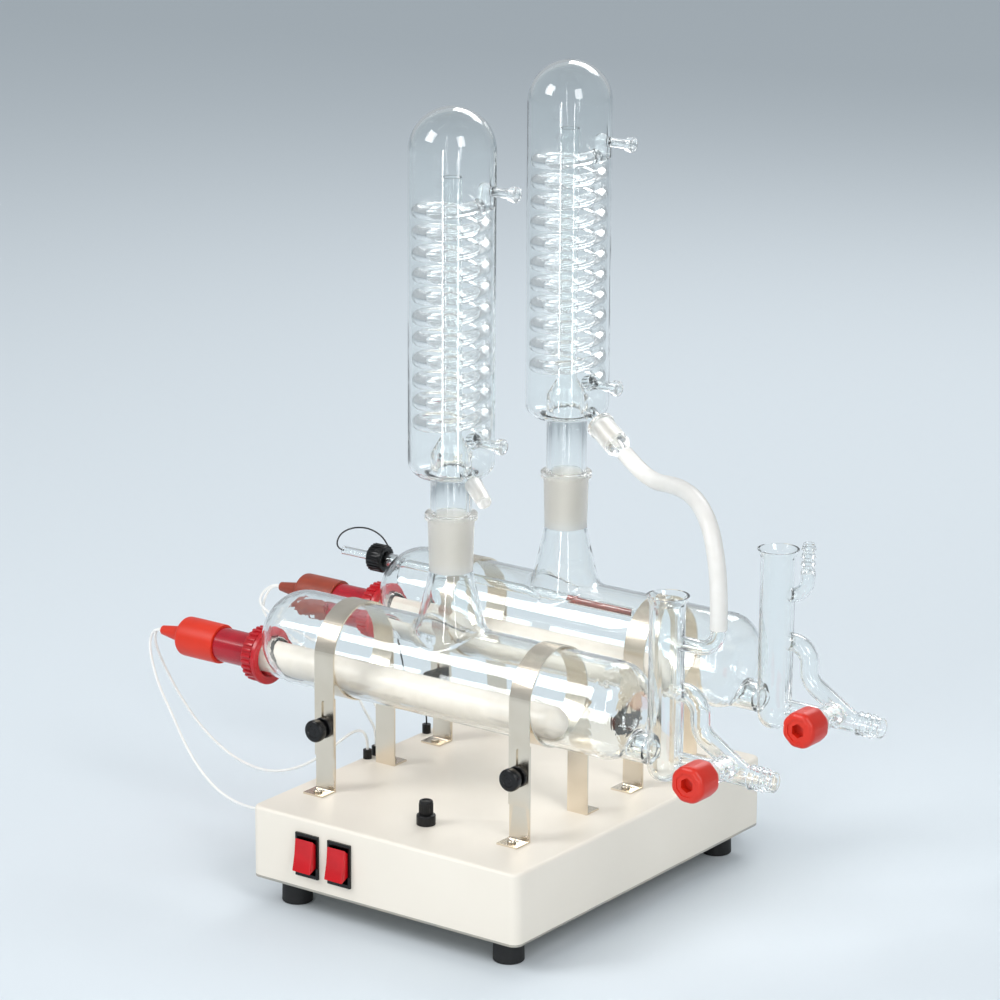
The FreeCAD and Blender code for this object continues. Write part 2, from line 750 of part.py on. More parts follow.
def cable_glands():
    """All five wire glands."""
    glands = [gland(p, Z_AXIS) for p in top_gland_centres()]
    glands.append(gland(side_gland_centre(), X_AXIS * -1))
    return Part.makeCompound(glands)


def mains_inlet():
    """The mains inlet on the back with its three blades."""
    c = inlet_centre()
    w = INLET_WIDTH / 2
    h = INLET_HEIGHT / 2
    flange = box(
        c.x - w - INLET_FLANGE, c.x + w + INLET_FLANGE, c.y, c.y + INLET_PROUD,
        c.z - h - INLET_FLANGE, c.z + h + INLET_FLANGE,
    )
    body = box(c.x - w, c.x + w, c.y - INLET_DEPTH, c.y + 1, c.z - h, c.z + h)
    wall = INLET_WALL
    pocket = box(
        c.x - w + wall, c.x + w - wall, c.y + INLET_PROUD - INLET_POCKET_DEPTH, c.y + INLET_PROUD + 1,
        c.z - h + wall, c.z + h - wall,
    )
    shell = union([flange, body]).cut(pocket)
    blades = []
    floor = c.y + INLET_PROUD - INLET_POCKET_DEPTH - 1
    for turn, drop in ((-1, -1), (0, 1), (1, -1)):
        x = c.x + turn * INLET_BLADE_SPREAD
        z = c.z + drop * INLET_BLADE_OFFSET
        half = INLET_BLADE_THICKNESS / 2
        top = z + INLET_BLADE / 2
        blades.append(box(x - half, x + half, floor, floor + INLET_BLADE_LENGTH, top - INLET_BLADE, top))
    return union([shell] + blades)


def terminal_block():
    """The terminal block on the bottom plate, one screw well for each pole."""
    y = BOX_FRONT + BLOCK_FROM_FRONT
    block = box(
        BOX_SHIFT - BLOCK_LENGTH / 2, BOX_SHIFT + BLOCK_LENGTH / 2,
        y - BLOCK_WIDTH / 2, y + BLOCK_WIDTH / 2, PLATE_TOP, PLATE_TOP + BLOCK_HEIGHT,
    )
    wells = []
    for i in range(BLOCK_POLES):
        x = BOX_SHIFT + BLOCK_LENGTH * ((i + 0.5) / BLOCK_POLES - 0.5)
        for dy in (-BLOCK_WIDTH / 4, BLOCK_WIDTH / 4):
            wells.append(
                rod(V(x, y + dy, PLATE_TOP + BLOCK_HEIGHT / 2), Z_AXIS, BLOCK_SCREW_HOLE / 2, BLOCK_HEIGHT)
            )
    return block.cut(wells)


# Straps


def arch(y, x, inner, outer, upper):
    """Half a ring round a boiler's axis."""
    start = V(x - STRAP_WIDTH / 2, y, AXIS_Z)
    ring = rod(start, X_AXIS, outer, STRAP_WIDTH).cut(rod(start, X_AXIS, inner, STRAP_WIDTH))
    low = AXIS_Z if upper else AXIS_Z - outer - 1
    high = AXIS_Z + outer + 1 if upper else AXIS_Z
    return ring.common(box(x - STRAP_WIDTH, x + STRAP_WIDTH, y - outer - 1, y + outer + 1, low, high))


def strap_band(x, y):
    """The upper band: arch, front leg with a slot, rear leg with its foot."""
    left = x - STRAP_WIDTH / 2
    right = x + STRAP_WIDTH / 2
    half_ring = arch(y, x, STRAP_INNER, STRAP_OUTER, True)
    front_leg = box(left, right, y - STRAP_OUTER, y - STRAP_INNER, BOX_TOP + STRAP_BAND_END, AXIS_Z)
    rear_leg = box(left, right, y + STRAP_INNER, y + STRAP_OUTER, BOX_TOP, AXIS_Z)
    foot = box(
        left, right, y + STRAP_OUTER - STRAP_SHEET, y + STRAP_OUTER + STRAP_FOOT_LENGTH,
        BOX_TOP, BOX_TOP + STRAP_SHEET,
    )
    band = union([half_ring, front_leg, rear_leg, foot])
    half = STRAP_SLOT_WIDTH / 2
    low = BOX_TOP + KNOB_ABOVE_BOX - half
    high = low + STRAP_SLOT_LENGTH - half
    face = V(x, y - STRAP_OUTER - 1, 0)
    depth = STRAP_SHEET + 2
    slot = [
        rod(V(face.x, face.y, low + half), Y_AXIS, half, depth),
        rod(V(face.x, face.y, high), Y_AXIS, half, depth),
        box(x - half, x + half, face.y, face.y + depth, low + half, high),
    ]
    screw_hole = rod(
        V(x, y + STRAP_OUTER + STRAP_SCREW_REACH, BOX_TOP - 1), Z_AXIS, STRAP_SCREW_DIAMETER / 2, 4
    )
    return band.cut(slot + [screw_hole])


def strap_bracket(x, y):
    """The lower front leg behind the band, with its foot."""
    left = x - STRAP_WIDTH / 2
    right = x + STRAP_WIDTH / 2
    leg = box(
        left, right, y - STRAP_INNER, y - STRAP_INNER + STRAP_SHEET, BOX_TOP, BOX_TOP + STRAP_BRACKET_TOP
    )
    foot = box(
        left, right, y - STRAP_OUTER - STRAP_FOOT_LENGTH, y - STRAP_INNER + STRAP_SHEET,
        BOX_TOP, BOX_TOP + STRAP_SHEET,
    )
    stud_hole = rod(
        V(x, y - STRAP_OUTER, BOX_TOP + KNOB_ABOVE_BOX), Y_AXIS,
        KNOB_STUD_DIAMETER / 2 + STUD_CLEARANCE, 2 * STRAP_SHEET + 1,
    )
    screw_hole = rod(
        V(x, y - STRAP_OUTER - STRAP_SCREW_REACH, BOX_TOP - 1), Z_AXIS, STRAP_SCREW_DIAMETER / 2, 4
    )
    return union([leg, foot]).cut([stud_hole, screw_hole])


def strap_saddles():
    """Four bent strips under the boilers, spot-welded between the legs."""
    saddles = []
    for y in BOILERS.values():
        for x in STRAP_SIDES.values():
            strip = arch(y, x, STRAP_INNER, STRAP_INNER + SADDLE_SHEET, False)
            between_legs = box(
                x - STRAP_WIDTH, x + STRAP_WIDTH, y - STRAP_INNER, y + STRAP_INNER,
                AXIS_Z - 2 * BOILER_RADIUS, AXIS_Z - SADDLE_START_SHARE * BOILER_RADIUS,
            )
            saddles.append(strip.common(between_legs))
    return Part.makeCompound(saddles)


def clamp_knob(x, y):
    """A round clamp knob on its stud: flange, neck and rounded head."""
    face = V(x, y - STRAP_OUTER - STUD_CLEARANCE, BOX_TOP + KNOB_ABOVE_BOX)
    out = Y_AXIS * -1
    flange = rod(face, out, KNOB_FLANGE_DIAMETER / 2, KNOB_FLANGE_LENGTH)
    neck = rod(face, out, KNOB_NECK_DIAMETER / 2, KNOB_FLANGE_LENGTH + KNOB_NECK_LENGTH + 1)
    head_start = face + out * (KNOB_FLANGE_LENGTH + KNOB_NECK_LENGTH)
    head = rod(head_start, out, KNOB_HEAD_DIAMETER / 2, KNOB_HEAD_LENGTH)
    head = head.makeFillet(KNOB_ROUND, [e for e in head.Edges if len(e.Vertexes) == 1])
    stud = rod(face + Y_AXIS * KNOB_STUD_REACH, out, KNOB_STUD_DIAMETER / 2, KNOB_STUD_REACH + 1)
    return union([flange, neck, head, stud])


def clamp_nuts():
    """The nuts inside the brackets that the knobs' studs screw into."""
    nuts = []
    for y in BOILERS.values():
        for x in STRAP_SIDES.values():
            c = V(x, y - STRAP_INNER + STRAP_SHEET, BOX_TOP + KNOB_ABOVE_BOX)
            nut = hexagon(c, Y_AXIS, CLAMP_NUT_ACROSS, CLAMP_NUT_HEIGHT)
            bore = rod(c - Y_AXIS, Y_AXIS, KNOB_STUD_DIAMETER / 2 + STUD_CLEARANCE, CLAMP_NUT_HEIGHT + 2)
            nuts.append(nut.cut(bore))
    return Part.makeCompound(nuts)


def strap_screws():
    """The eight screws in the strap feet."""
    screws = []
    for p in strap_screw_places():
        seat = p + Z_AXIS * STRAP_SHEET
        head = rod(seat, Z_AXIS, STRAP_SCREW_HEAD / 2, STRAP_SCREW_HEAD_HEIGHT)
        upper = edges_at(head, lambda e: e.z > seat.z + 1 and abs(e.x - p.x) < NEAR)
        head = head.makeFillet(STRAP_SCREW_HEAD_ROUND, upper)
        slot = box(p.x - 4, p.x + 4, p.y - 0.5, p.y + 0.5, seat.z + STRAP_SCREW_HEAD_HEIGHT - 1, seat.z + 4)
        shank = rod(seat + Z_AXIS, Z_AXIS * -1, STRAP_SCREW_DIAMETER / 2, STRAP_SCREW_LENGTH + 1)
        screws.append(union([head, shank]).cut(slot))
    return Part.makeCompound(screws)


# Boilers


def neck_profile(offset):
    """The neck above a boiler, as (height above the axis, radius), moved in by offset."""
    mouth = NECK_MOUTH / 2
    if offset:
        taper_end = NECK_RISE - NECK_TAPER_LENGTH
        low = mouth - NECK_TAPER * NECK_TAPER_LENGTH / 2
        return [
            (0, 0),
            (0, NECK_SKIRT_DIAMETER / 2 - offset),
            (NECK_SKIRT_RISE, NECK_SKIRT_DIAMETER / 2 - offset),
            (NECK_FLARE_RISE, NECK_FLARE_DIAMETER / 2 - offset),
            (NECK_LOW_RISE, NECK_LOW_DIAMETER / 2 - offset),
            (taper_end, low),
            (NECK_RISE, mouth),
            (NECK_RISE + 1, mouth),
            (NECK_RISE + 1, 0),
        ]
    rim = NECK_RIM_DIAMETER / 2
    return [
        (0, 0),
        (0, NECK_SKIRT_DIAMETER / 2),
        (NECK_SKIRT_RISE, NECK_SKIRT_DIAMETER / 2),
        (NECK_FLARE_RISE, NECK_FLARE_DIAMETER / 2),
        (NECK_LOW_RISE, NECK_LOW_DIAMETER / 2),
        (NECK_RISE - NECK_RIM_HEIGHT, mouth + NECK_WALL),
        (NECK_RISE - NECK_RIM_HEIGHT + 1, rim),
        (NECK_RISE - 1, rim),
        (NECK_RISE, rim - 1),
        (NECK_RISE, 0),
    ]


def boiler_body(y, inset):
    """A boiler's cylinder with rounded ends, moved inwards by inset."""
    length = BOILER_LENGTH - 2 * inset
    bar = rod(V(-length / 2, y, AXIS_Z), X_AXIS, BOILER_RADIUS - inset, length)
    return round_ends(bar, 0, LEFT_END_ROUND - inset, RIGHT_END_ROUND - inset)


def neck_solid(y, offset):
    """The neck above a boiler with its upper turn drawn round."""
    neck = spun(neck_profile(offset), V(0, y, AXIS_Z), Z_AXIS)
    level = AXIS_Z + NECK_LOW_RISE
    turn = edges_at(neck, lambda c: abs(c.z - level) < NEAR)
    return neck.makeFillet(NECK_LOW_BLEND + offset, turn)


def blown_together(solid, inset):
    """Draws the sharp line where the neck meets the cylinder into a soft fillet."""
    reach = NECK_SKIRT_DIAMETER / 2 + 1
    seam = edges_at(
        solid,
        lambda c: abs(c.x) < reach and AXIS_Z + reach / 2 < c.z < AXIS_Z + BOILER_RADIUS + 2,
    )
    seam = [e for e in seam if e.Curve.TypeId == "Part::GeomBSplineCurve"]
    return solid.makeFillet(NECK_JUNCTION_BLEND + NECK_INNER_BLEND_SHARE * inset, seam)


def boiler(which):
    """A glass boiler with its neck, heater neck, link socket and, at the rear, probe neck."""
    y = BOILERS[which]
    inside_x = -BOILER_END + LEFT_END_ROUND
    outer = [blown_together(union([boiler_body(y, 0), neck_solid(y, 0)]), 0)]
    inner = [
        blown_together(
            union([boiler_body(y, BOILER_WALL), neck_solid(y, BOILER_WALL)]), BOILER_WALL
        )
    ]
    heater_start = V(HEATER_NECK_END, y, HEATER_Z)
    heater_length = inside_x - HEATER_NECK_END
    outer.append(rod(heater_start, X_AXIS, HEATER_NECK_DIAMETER / 2, heater_length))
    inner.append(rod(heater_start - X_AXIS, X_AXIS, HEATER_NECK_BORE / 2, heater_length + 1))
    link_z = AXIS_Z - LINK_DROP
    link_start = V(BOILER_END - RIGHT_END_ROUND, y, link_z)
    link_length = RIGHT_END_ROUND + LINK_SOCKET_LENGTH
    outer.append(rod(link_start, X_AXIS, LINK_SOCKET_DIAMETER / 2, link_length))
    inner.append(rod(link_start, X_AXIS, LINK_BORE / 2, link_length + 1))
    if which == "rear":
        probe_start = V(PROBE_NECK_END, y, PROBE_Z)
        probe_length = inside_x - PROBE_NECK_END
        outer.append(rod(probe_start, X_AXIS, PROBE_NECK_DIAMETER / 2, probe_length))
        inner.append(rod(probe_start - X_AXIS, X_AXIS, PROBE_NECK_BORE / 2, probe_length + 1))
    glass = union(outer)
    necks = [
        e
        for e in glass.Edges
        if e.CenterOfMass.x > BOILER_END - RIGHT_END_ROUND
        and e.BoundBox.XMax < BOILER_END + 0.5
        and abs(e.CenterOfMass.z - link_z) < LINK_SOCKET_DIAMETER / 2 + 2
        and e.BoundBox.ZLength > LINK_SOCKET_DIAMETER / 3
    ]
    glass = glass.makeFillet(LINK_SOCKET_BLEND, necks)
    return glass.cut(union(inner))


def heater_sheath(y):
    """The quartz sheath: a tube with a round closed end in the water."""
    start = V(SLEEVE_RIGHT, y, HEATER_Z)
    radius = SHEATH_DIAMETER / 2
    straight = SHEATH_REACH - radius
    tip = Part.makeSphere(radius, start + X_AXIS * straight)
    outer = union([rod(start, X_AXIS, radius, straight), tip])
    bore_radius = radius - SHEATH_WALL
    bore = union(
        [
            rod(start - X_AXIS, X_AXIS, bore_radius, straight + 1),
            Part.makeSphere(bore_radius, start + X_AXIS * straight),
        ]
    )
    return outer.cut(bore)


def heater_cores():
    """The two ceramic cores inside the sheaths."""
    cores = []
    for y in BOILERS.values():
        low = SHEATH_DIAMETER / 2 - SHEATH_WALL - CORE_DIAMETER / 2
        start = V(SLEEVE_RIGHT, y, HEATER_Z - low)
        cores.append(rod(start, X_AXIS, CORE_DIAMETER / 2, SHEATH_REACH - CORE_SHORTER))
    return Part.makeCompound(cores)


def heater_seals():
    """The two ring seals that the screw caps press on the necks."""
    seals = []
    for y in BOILERS.values():
        start = V(SEAL_END, y, HEATER_Z)
        ring = rod(start, X_AXIS, HEATER_NECK_DIAMETER / 2, SEAL_LENGTH)
        seals.append(ring.cut(rod(start - X_AXIS, X_AXIS, SHEATH_DIAMETER / 2, SEAL_LENGTH + 2)))
    return Part.makeCompound(seals)


def heater_cap(y):
    """The red ribbed screw cap on the heater neck."""
    start = V(NUT_LEFT, y, HEATER_Z)
    side = Z_AXIS
    drum = rod(start, X_AXIS, NUT_DIAMETER / 2, NUT_LENGTH)
    drum = drum.makeFillet(NUT_ROUND, [e for e in drum.Edges if len(e.Vertexes) == 1])
    rib_length = NUT_LENGTH - 4
    rib_bars = ribs(
        start + X_AXIS * 2, X_AXIS, side, NUT_DIAMETER / 2, NUT_RIB_DIAMETER / 2, rib_length, NUT_RIBS
    )
    cavity_start = start + X_AXIS * (NUT_END_WALL - STUD_CLEARANCE)
    cavity = rod(cavity_start, X_AXIS, HEATER_NECK_DIAMETER / 2 + NUT_GAP, NUT_LENGTH)
    hole = rod(start - X_AXIS, X_AXIS, SLEEVE_DIAMETER / 2 + NUT_GAP, NUT_LENGTH)
    return union([drum] + rib_bars).cut([cavity, hole])


def lead_offsets():
    """Where the two wires leave a heater's tip, across the boilers."""
    return {"first": -LEAD_SPACING / 2, "second": LEAD_SPACING / 2}


def heater_hood(y):
    """The red silicone hood: sleeve, larger hood and cone tip."""
    start = V(TIP_X, y, HEATER_Z)
    cone = taper(start, X_AXIS, CONE_TIP_DIAMETER / 2, CONE_BASE_DIAMETER / 2, CONE_LENGTH)
    hood = rod(V(HOOD_LEFT, y, HEATER_Z), X_AXIS, HOOD_DIAMETER / 2, HOOD_LENGTH)
    hood = hood.makeFillet(HOOD_ROUND, [e for e in hood.Edges if len(e.Vertexes) == 1])
    sleeve = rod(V(SLEEVE_LEFT - 1, y, HEATER_Z), X_AXIS, SLEEVE_DIAMETER / 2, SLEEVE_LENGTH + 1)
    return union([cone, hood, sleeve])


def probe_tube():
    """The probe's glass tube, closed at both ends."""
    y = REAR_BOILER_Y
    radius = PROBE_TUBE_DIAMETER / 2
    start = V(-BOILER_END - PROBE_TUBE_OUTSIDE, y, PROBE_Z)
    length = PROBE_TUBE_OUTSIDE + PROBE_TUBE_REACH
    outer = union([rod(start, X_AXIS, radius, length), Part.makeSphere(radius, start + X_AXIS * length)])
    bore = rod(start - X_AXIS, X_AXIS, radius - PROBE_TUBE_WALL, length)
    return outer.cut(bore)


def probe_tip():
    """The brown probe at the inner end of its glass tube."""
    gap = PROBE_TUBE_DIAMETER / 2 - PROBE_TUBE_WALL - PROBE_TIP_DIAMETER / 2
    start = V(-BOILER_END + PROBE_TUBE_REACH - PROBE_TIP_LENGTH - 2, REAR_BOILER_Y, PROBE_Z - gap)
    return rod(start, X_AXIS, PROBE_TIP_DIAMETER / 2, PROBE_TIP_LENGTH)


def probe_cap():
    """The black ribbed screw cap on the probe neck."""
    left = PROBE_NECK_END - PROBE_CAP_WALL
    start = V(left, REAR_BOILER_Y, PROBE_Z)
    radius = PROBE_CAP_DIAMETER / 2
    drum = rod(start, X_AXIS, radius, PROBE_CAP_LENGTH)
    drum = drum.makeFillet(PROBE_CAP_ROUND, [e for e in drum.Edges if len(e.Vertexes) == 1])
    bars = ribs(
        start + X_AXIS * PROBE_CAP_RIB_INSET, X_AXIS, Z_AXIS, radius, PROBE_CAP_RIB_DIAMETER / 2,
        PROBE_CAP_LENGTH - 2 * PROBE_CAP_RIB_INSET, PROBE_CAP_RIBS,
    )
    cavity = rod(
        start + X_AXIS * (PROBE_CAP_WALL - STUD_CLEARANCE), X_AXIS,
        PROBE_NECK_DIAMETER / 2 + NUT_GAP, PROBE_CAP_LENGTH,
    )
    hole = rod(start - X_AXIS, X_AXIS, PROBE_TUBE_DIAMETER / 2 + NUT_GAP, PROBE_CAP_LENGTH)
    return union([drum] + bars).cut([cavity, hole])


# Level devices


def barbs(start, along, root, crest, count, pitch):
    """Hose barbs: short cones in a row, each widening away from the tip."""
    return [
        taper(start + along * (pitch * i), along, root, crest, pitch * BARB_SHARE) for i in range(count)
    ]


def level_device(which):
    """The standpipe with its link tube, hose arm, overflow, barrel and drain nozzle."""
    y = BOILERS[which]
    foot = V(LEVEL_X, y, LEVEL_BOTTOM)
    radius = LEVEL_TUBE_DIAMETER / 2
    height = LEVEL_TOP - LEVEL_BOTTOM
    rim = LEVEL_RIM_DIAMETER / 2
    rim_low = height - LEVEL_RIM_HEIGHT
    ball = Part.makeSphere(radius, foot + Z_AXIS * radius)
    pipe = spun(
        [(radius, 0), (radius, radius), (rim_low, radius), (height, rim), (height, 0)], foot, Z_AXIS
    )
    bore = radius - LEVEL_WALL
    hollow = [
        spun(
            [
                (radius, 0), (radius, bore), (rim_low, bore),
                (height, rim - LEVEL_WALL), (height + 1, rim - LEVEL_WALL), (height + 1, 0),
            ],
            foot, Z_AXIS,
        ),
        Part.makeSphere(bore, foot + Z_AXIS * radius),
    ]
    glass = [pipe, ball]

    link_z = AXIS_Z - LINK_DROP
    link_left = BOILER_END + LINK_SOCKET_LENGTH - LINK_OVERLAP
    link_radius = LINK_BORE / 2 - LINK_GAP
    glass.append(rod(V(link_left, y, link_z), X_AXIS, link_radius, LEVEL_X - link_left))
    link_bore = link_radius - LEVEL_WALL
    hollow.append(rod(V(link_left - 1, y, link_z), X_AXIS, link_bore, LEVEL_X - link_left + 1))

    reach = LEVEL_X + ARM_REACH[which]
    top = ARM_TOP[which]
    arm_path = [V(LEVEL_X, y, ARM_RISE), V(reach, y, ARM_RISE), V(reach, y, top - BARB_PITCH * BARB_COUNT)]
    if which == "front":
        arm_path[2] = V(reach, y, top)
    glass.append(bent_bar(arm_path, ARM_BEND, ARM_DIAMETER / 2))
    hollow.append(bent_bar(arm_path, ARM_BEND, ARM_DIAMETER / 2 - ARM_WALL))
    spigot = SPIGOT_DIAMETER / 2
    if which == "front":
        spigot_start = V(reach, y, top - 1)
        spigot_length = SPIGOT_LENGTH + 1
    else:
        spigot_start = V(reach, y, top - BARB_PITCH * BARB_COUNT)
        spigot_length = BARB_PITCH * BARB_COUNT
        glass += barbs(
            V(reach, y, top), Z_AXIS * -1, spigot, BARB_DIAMETER / 2, BARB_COUNT, BARB_PITCH
        )
    glass.append(rod(spigot_start, Z_AXIS, spigot, spigot_length))
    hollow.append(rod(spigot_start - Z_AXIS, Z_AXIS, spigot - ARM_WALL, spigot_length + 2))

    over = [
        V(LEVEL_X, y, OVERFLOW_RISE),
        V(LEVEL_X + OVERFLOW_OUT, y, OVERFLOW_RISE),
        V(LEVEL_X + OVERFLOW_OUT, y, OVERFLOW_TURN_RISE),
        V(LEVEL_X + OVERFLOW_JOIN, y, DRAIN_RISE),
    ]
    glass.append(bent_bar(over, OVERFLOW_BEND, OVERFLOW_DIAMETER / 2))
    hollow.append(bent_bar(over, OVERFLOW_BEND, OVERFLOW_DIAMETER / 2 - OVERFLOW_WALL))

    drain_start = V(LEVEL_X, y, DRAIN_RISE)
    drain = DRAIN_DIAMETER / 2
    nozzle_out = STOPCOCK_OUT + BARREL_DIAMETER / 2 + BARREL_CLEARANCE
    inlet = DRAIN_INLET_DIAMETER / 2
    glass.append(rod(drain_start, X_AXIS, inlet, STOPCOCK_OUT))
    glass.append(rod(drain_start + X_AXIS * STOPCOCK_OUT, X_AXIS, drain, DRAIN_END - STOPCOCK_OUT))
    glass += barbs(
        drain_start + X_AXIS * (DRAIN_END - DRAIN_LIP), X_AXIS * -1, drain,
        DRAIN_BARB_DIAMETER / 2, DRAIN_BARB_COUNT, DRAIN_BARB_PITCH,
    )
    inlet_length = STOPCOCK_OUT - BARREL_DIAMETER / 2 - BARREL_CLEARANCE
    hollow.append(rod(drain_start, X_AXIS, inlet - DRAIN_WALL, inlet_length))
    nozzle_start = drain_start + X_AXIS * nozzle_out
    hollow.append(rod(nozzle_start, X_AXIS, drain - DRAIN_WALL, DRAIN_END - nozzle_out + 1))
    barrel_start = V(LEVEL_X + STOPCOCK_OUT, y - BARREL_FRONT, DRAIN_RISE)
    barrel_length = BARREL_FRONT + BARREL_BACK
    barrel = rod(barrel_start, Y_AXIS, BARREL_DIAMETER / 2, barrel_length)
    seat = rod(barrel_start - Y_AXIS, Y_AXIS, KEY_DIAMETER / 2 + KEY_GAP, barrel_length + 2)
    port = rod(
        V(LEVEL_X + STOPCOCK_OUT - BARREL_DIAMETER, y, DRAIN_RISE), X_AXIS, KEY_PORT / 2,
        2 * BARREL_DIAMETER,
    )
    tubes = union(glass).cut(union(hollow))
    return union([tubes, barrel]).cut([seat, port])


def stopcock_key(y):
    """The white key: plug with its port, collar, spindle and tail."""
    centre = V(LEVEL_X + STOPCOCK_OUT, y, DRAIN_RISE)
    plug = rod(
        centre - Y_AXIS * (BARREL_FRONT + STUD_CLEARANCE), Y_AXIS, KEY_DIAMETER / 2,
        BARREL_FRONT + BARREL_BACK + STUD_CLEARANCE + KEY_TAIL,
    )
    collar_back = centre - Y_AXIS * (BARREL_FRONT + STUD_CLEARANCE)
    collar = rod(collar_back, Y_AXIS * -1, KEY_COLLAR_DIAMETER / 2, KEY_COLLAR_LENGTH)
    spindle = rod(
        collar_back, Y_AXIS * -1, KEY_SPINDLE_DIAMETER / 2, KEY_COLLAR_LENGTH + KEY_SPINDLE_LENGTH
    )
    port = rod(centre - X_AXIS * KEY_DIAMETER, X_AXIS, KEY_PORT / 2, 2 * KEY_DIAMETER)
    return union([plug, collar, spindle]).cut(port)


def stopcock_knob(y):
    """The red stopcock knob with a hexagonal socket in its face."""
    back = V(
        LEVEL_X + STOPCOCK_OUT, y - BARREL_FRONT - STUD_CLEARANCE - KEY_COLLAR_LENGTH, DRAIN_RISE
    )
    out = Y_AXIS * -1
    knob = rod(back, out, COCK_KNOB_DIAMETER / 2, COCK_KNOB_LENGTH)
    knob = knob.makeFillet(COCK_KNOB_ROUND, [e for e in knob.Edges if len(e.Vertexes) == 1])
    bore = rod(back, out, KEY_SPINDLE_DIAMETER / 2, KEY_SPINDLE_LENGTH)
    socket = hexagon(
        back + out * (COCK_KNOB_LENGTH - COCK_SOCKET_DEPTH), out, COCK_SOCKET_ACROSS, COCK_SOCKET_DEPTH + 1
    )
    return knob.cut([bore, socket])


# Condensers


def outlet_frame(which):
    """A condenser outlet's start on its jacket and its direction."""
    turn, fall = OUTLET_AIM[which]
    turn = math.radians(turn)
    fall = math.radians(fall)
    level = V(math.cos(turn), math.sin(turn), 0)
    along = level * math.cos(fall) - Z_AXIS * math.sin(fall)
    centre = V(0, BOILERS[which], JACKET_BOTTOM[which] + OUTLET_RISE)
    return centre + level * (JACKET_DIAMETER / 2 - JACKET_WALL), along


def nipple_heights(which):
    """The lower and the upper nipple's height."""
    bottom = JACKET_BOTTOM[which]
    return bottom + COIL_START, bottom + NIPPLE_TOP


def condenser_jacket(which):
    """A condenser's glass: jacket, ground cone, riser, nipples with elbows and outlet cone."""
    y = BOILERS[which]
    bottom = JACKET_BOTTOM[which]
    base = V(0, y, bottom)
    radius = JACKET_DIAMETER / 2
    straight = JACKET_LENGTH - radius

    def jacket_solid(inset):
        can = rod(base + Z_AXIS * inset, Z_AXIS, radius - inset, straight - inset)
        low = [e for e in can.Edges if len(e.Vertexes) == 1 and e.CenterOfMass.z < bottom + straight / 2]
        can = can.makeFillet(JACKET_FOOT_ROUND - inset, low)
        return union([can, Part.makeSphere(radius - inset, base + Z_AXIS * straight)])

    mouth = NECK_MOUTH / 2 - CONE_GAP
    tip = mouth - NECK_TAPER * NECK_TAPER_LENGTH / 2
    cone_low = NECK_TOP - NECK_TAPER_LENGTH
    stem = union(
        [
            taper(V(0, y, cone_low), Z_AXIS, tip, mouth, NECK_TAPER_LENGTH),
            rod(V(0, y, NECK_TOP), Z_AXIS, mouth, bottom - NECK_TOP + JACKET_WALL),
        ]
    )
    outlet_start, outlet_along = outlet_frame(which)
    outlet = union(
        [
            rod(outlet_start, outlet_along, OUTLET_TUBE_DIAMETER / 2, OUTLET_CONE_START + 2 * JACKET_WALL),
            taper(
                outlet_start + outlet_along * (OUTLET_CONE_START + JACKET_WALL), outlet_along,
                OUTLET_CONE_DIAMETER / 2,
                OUTLET_CONE_DIAMETER / 2 - NECK_TAPER * OUTLET_CONE_LENGTH / 2,
                OUTLET_CONE_LENGTH,
            ),
        ]
    )
    shell = union([jacket_solid(0), stem, outlet]).cut(jacket_solid(JACKET_WALL))

    riser_radius = RISER_DIAMETER / 2
    weir_top = JACKET_WALL + WEIR_HEIGHT
    weir = union(
        [
            rod(base, Z_AXIS, mouth, weir_top),
            taper(base + Z_AXIS * weir_top, Z_AXIS, mouth, riser_radius, WEIR_HEIGHT),
            rod(base, Z_AXIS, riser_radius, RISER_LENGTH),
        ]
    )
    weir_bore = union(
        [
            rod(V(0, y, cone_low - 1), Z_AXIS, tip - STEM_WALL, bottom - cone_low + weir_top + 1),
            taper(
                base + Z_AXIS * weir_top, Z_AXIS, tip - STEM_WALL, riser_radius - RISER_WALL, WEIR_HEIGHT
            ),
            rod(base + Z_AXIS * weir_top, Z_AXIS, riser_radius - RISER_WALL, RISER_LENGTH),
        ]
    )
    coil_radius = (COIL_DIAMETER - COIL_TUBE) / 2
    coil_top = bottom + COIL_START + COIL_PITCH * COIL_TURNS
    low_z, high_z = nipple_heights(which)
    elbow = ELBOW_DIAMETER / 2
    reach = NIPPLE_REACH - coil_radius
    pieces = [shell, weir]
    way_length = OUTLET_CONE_START + OUTLET_CONE_LENGTH + 2 * JACKET_WALL
    bores = [weir_bore, rod(outlet_start - outlet_along, outlet_along, OUTLET_BORE / 2, way_length)]
    for z, side, coil_z in ((low_z, -1, low_z), (high_z, 1, coil_top)):
        corner = V(coil_radius, y + side * ELBOW_LENGTH, z)
        coil_end = V(coil_radius, y, coil_z)
        pieces.append(rod(coil_end, Y_AXIS * side, elbow, ELBOW_LENGTH))
        pieces.append(Part.makeSphere(elbow, V(coil_radius, corner.y, coil_z)))
        if abs(z - coil_z) > 0.5:
            pieces.append(rod(V(coil_radius, corner.y, coil_z), Z_AXIS, elbow, z - coil_z))
            pieces.append(Part.makeSphere(elbow, corner))
        pieces.append(rod(corner, X_AXIS, NIPPLE_DIAMETER / 2, reach))
        bead = corner + X_AXIS * (reach - NIPPLE_BEAD_LENGTH)
        pieces.append(rod(bead, X_AXIS, NIPPLE_BEAD_DIAMETER / 2, NIPPLE_BEAD_LENGTH))
        bores.append(rod(corner + X_AXIS * (reach + 1), X_AXIS * -1, NIPPLE_BORE / 2, NIPPLE_BORE_DEPTH))
    return union(pieces).cut(bores)


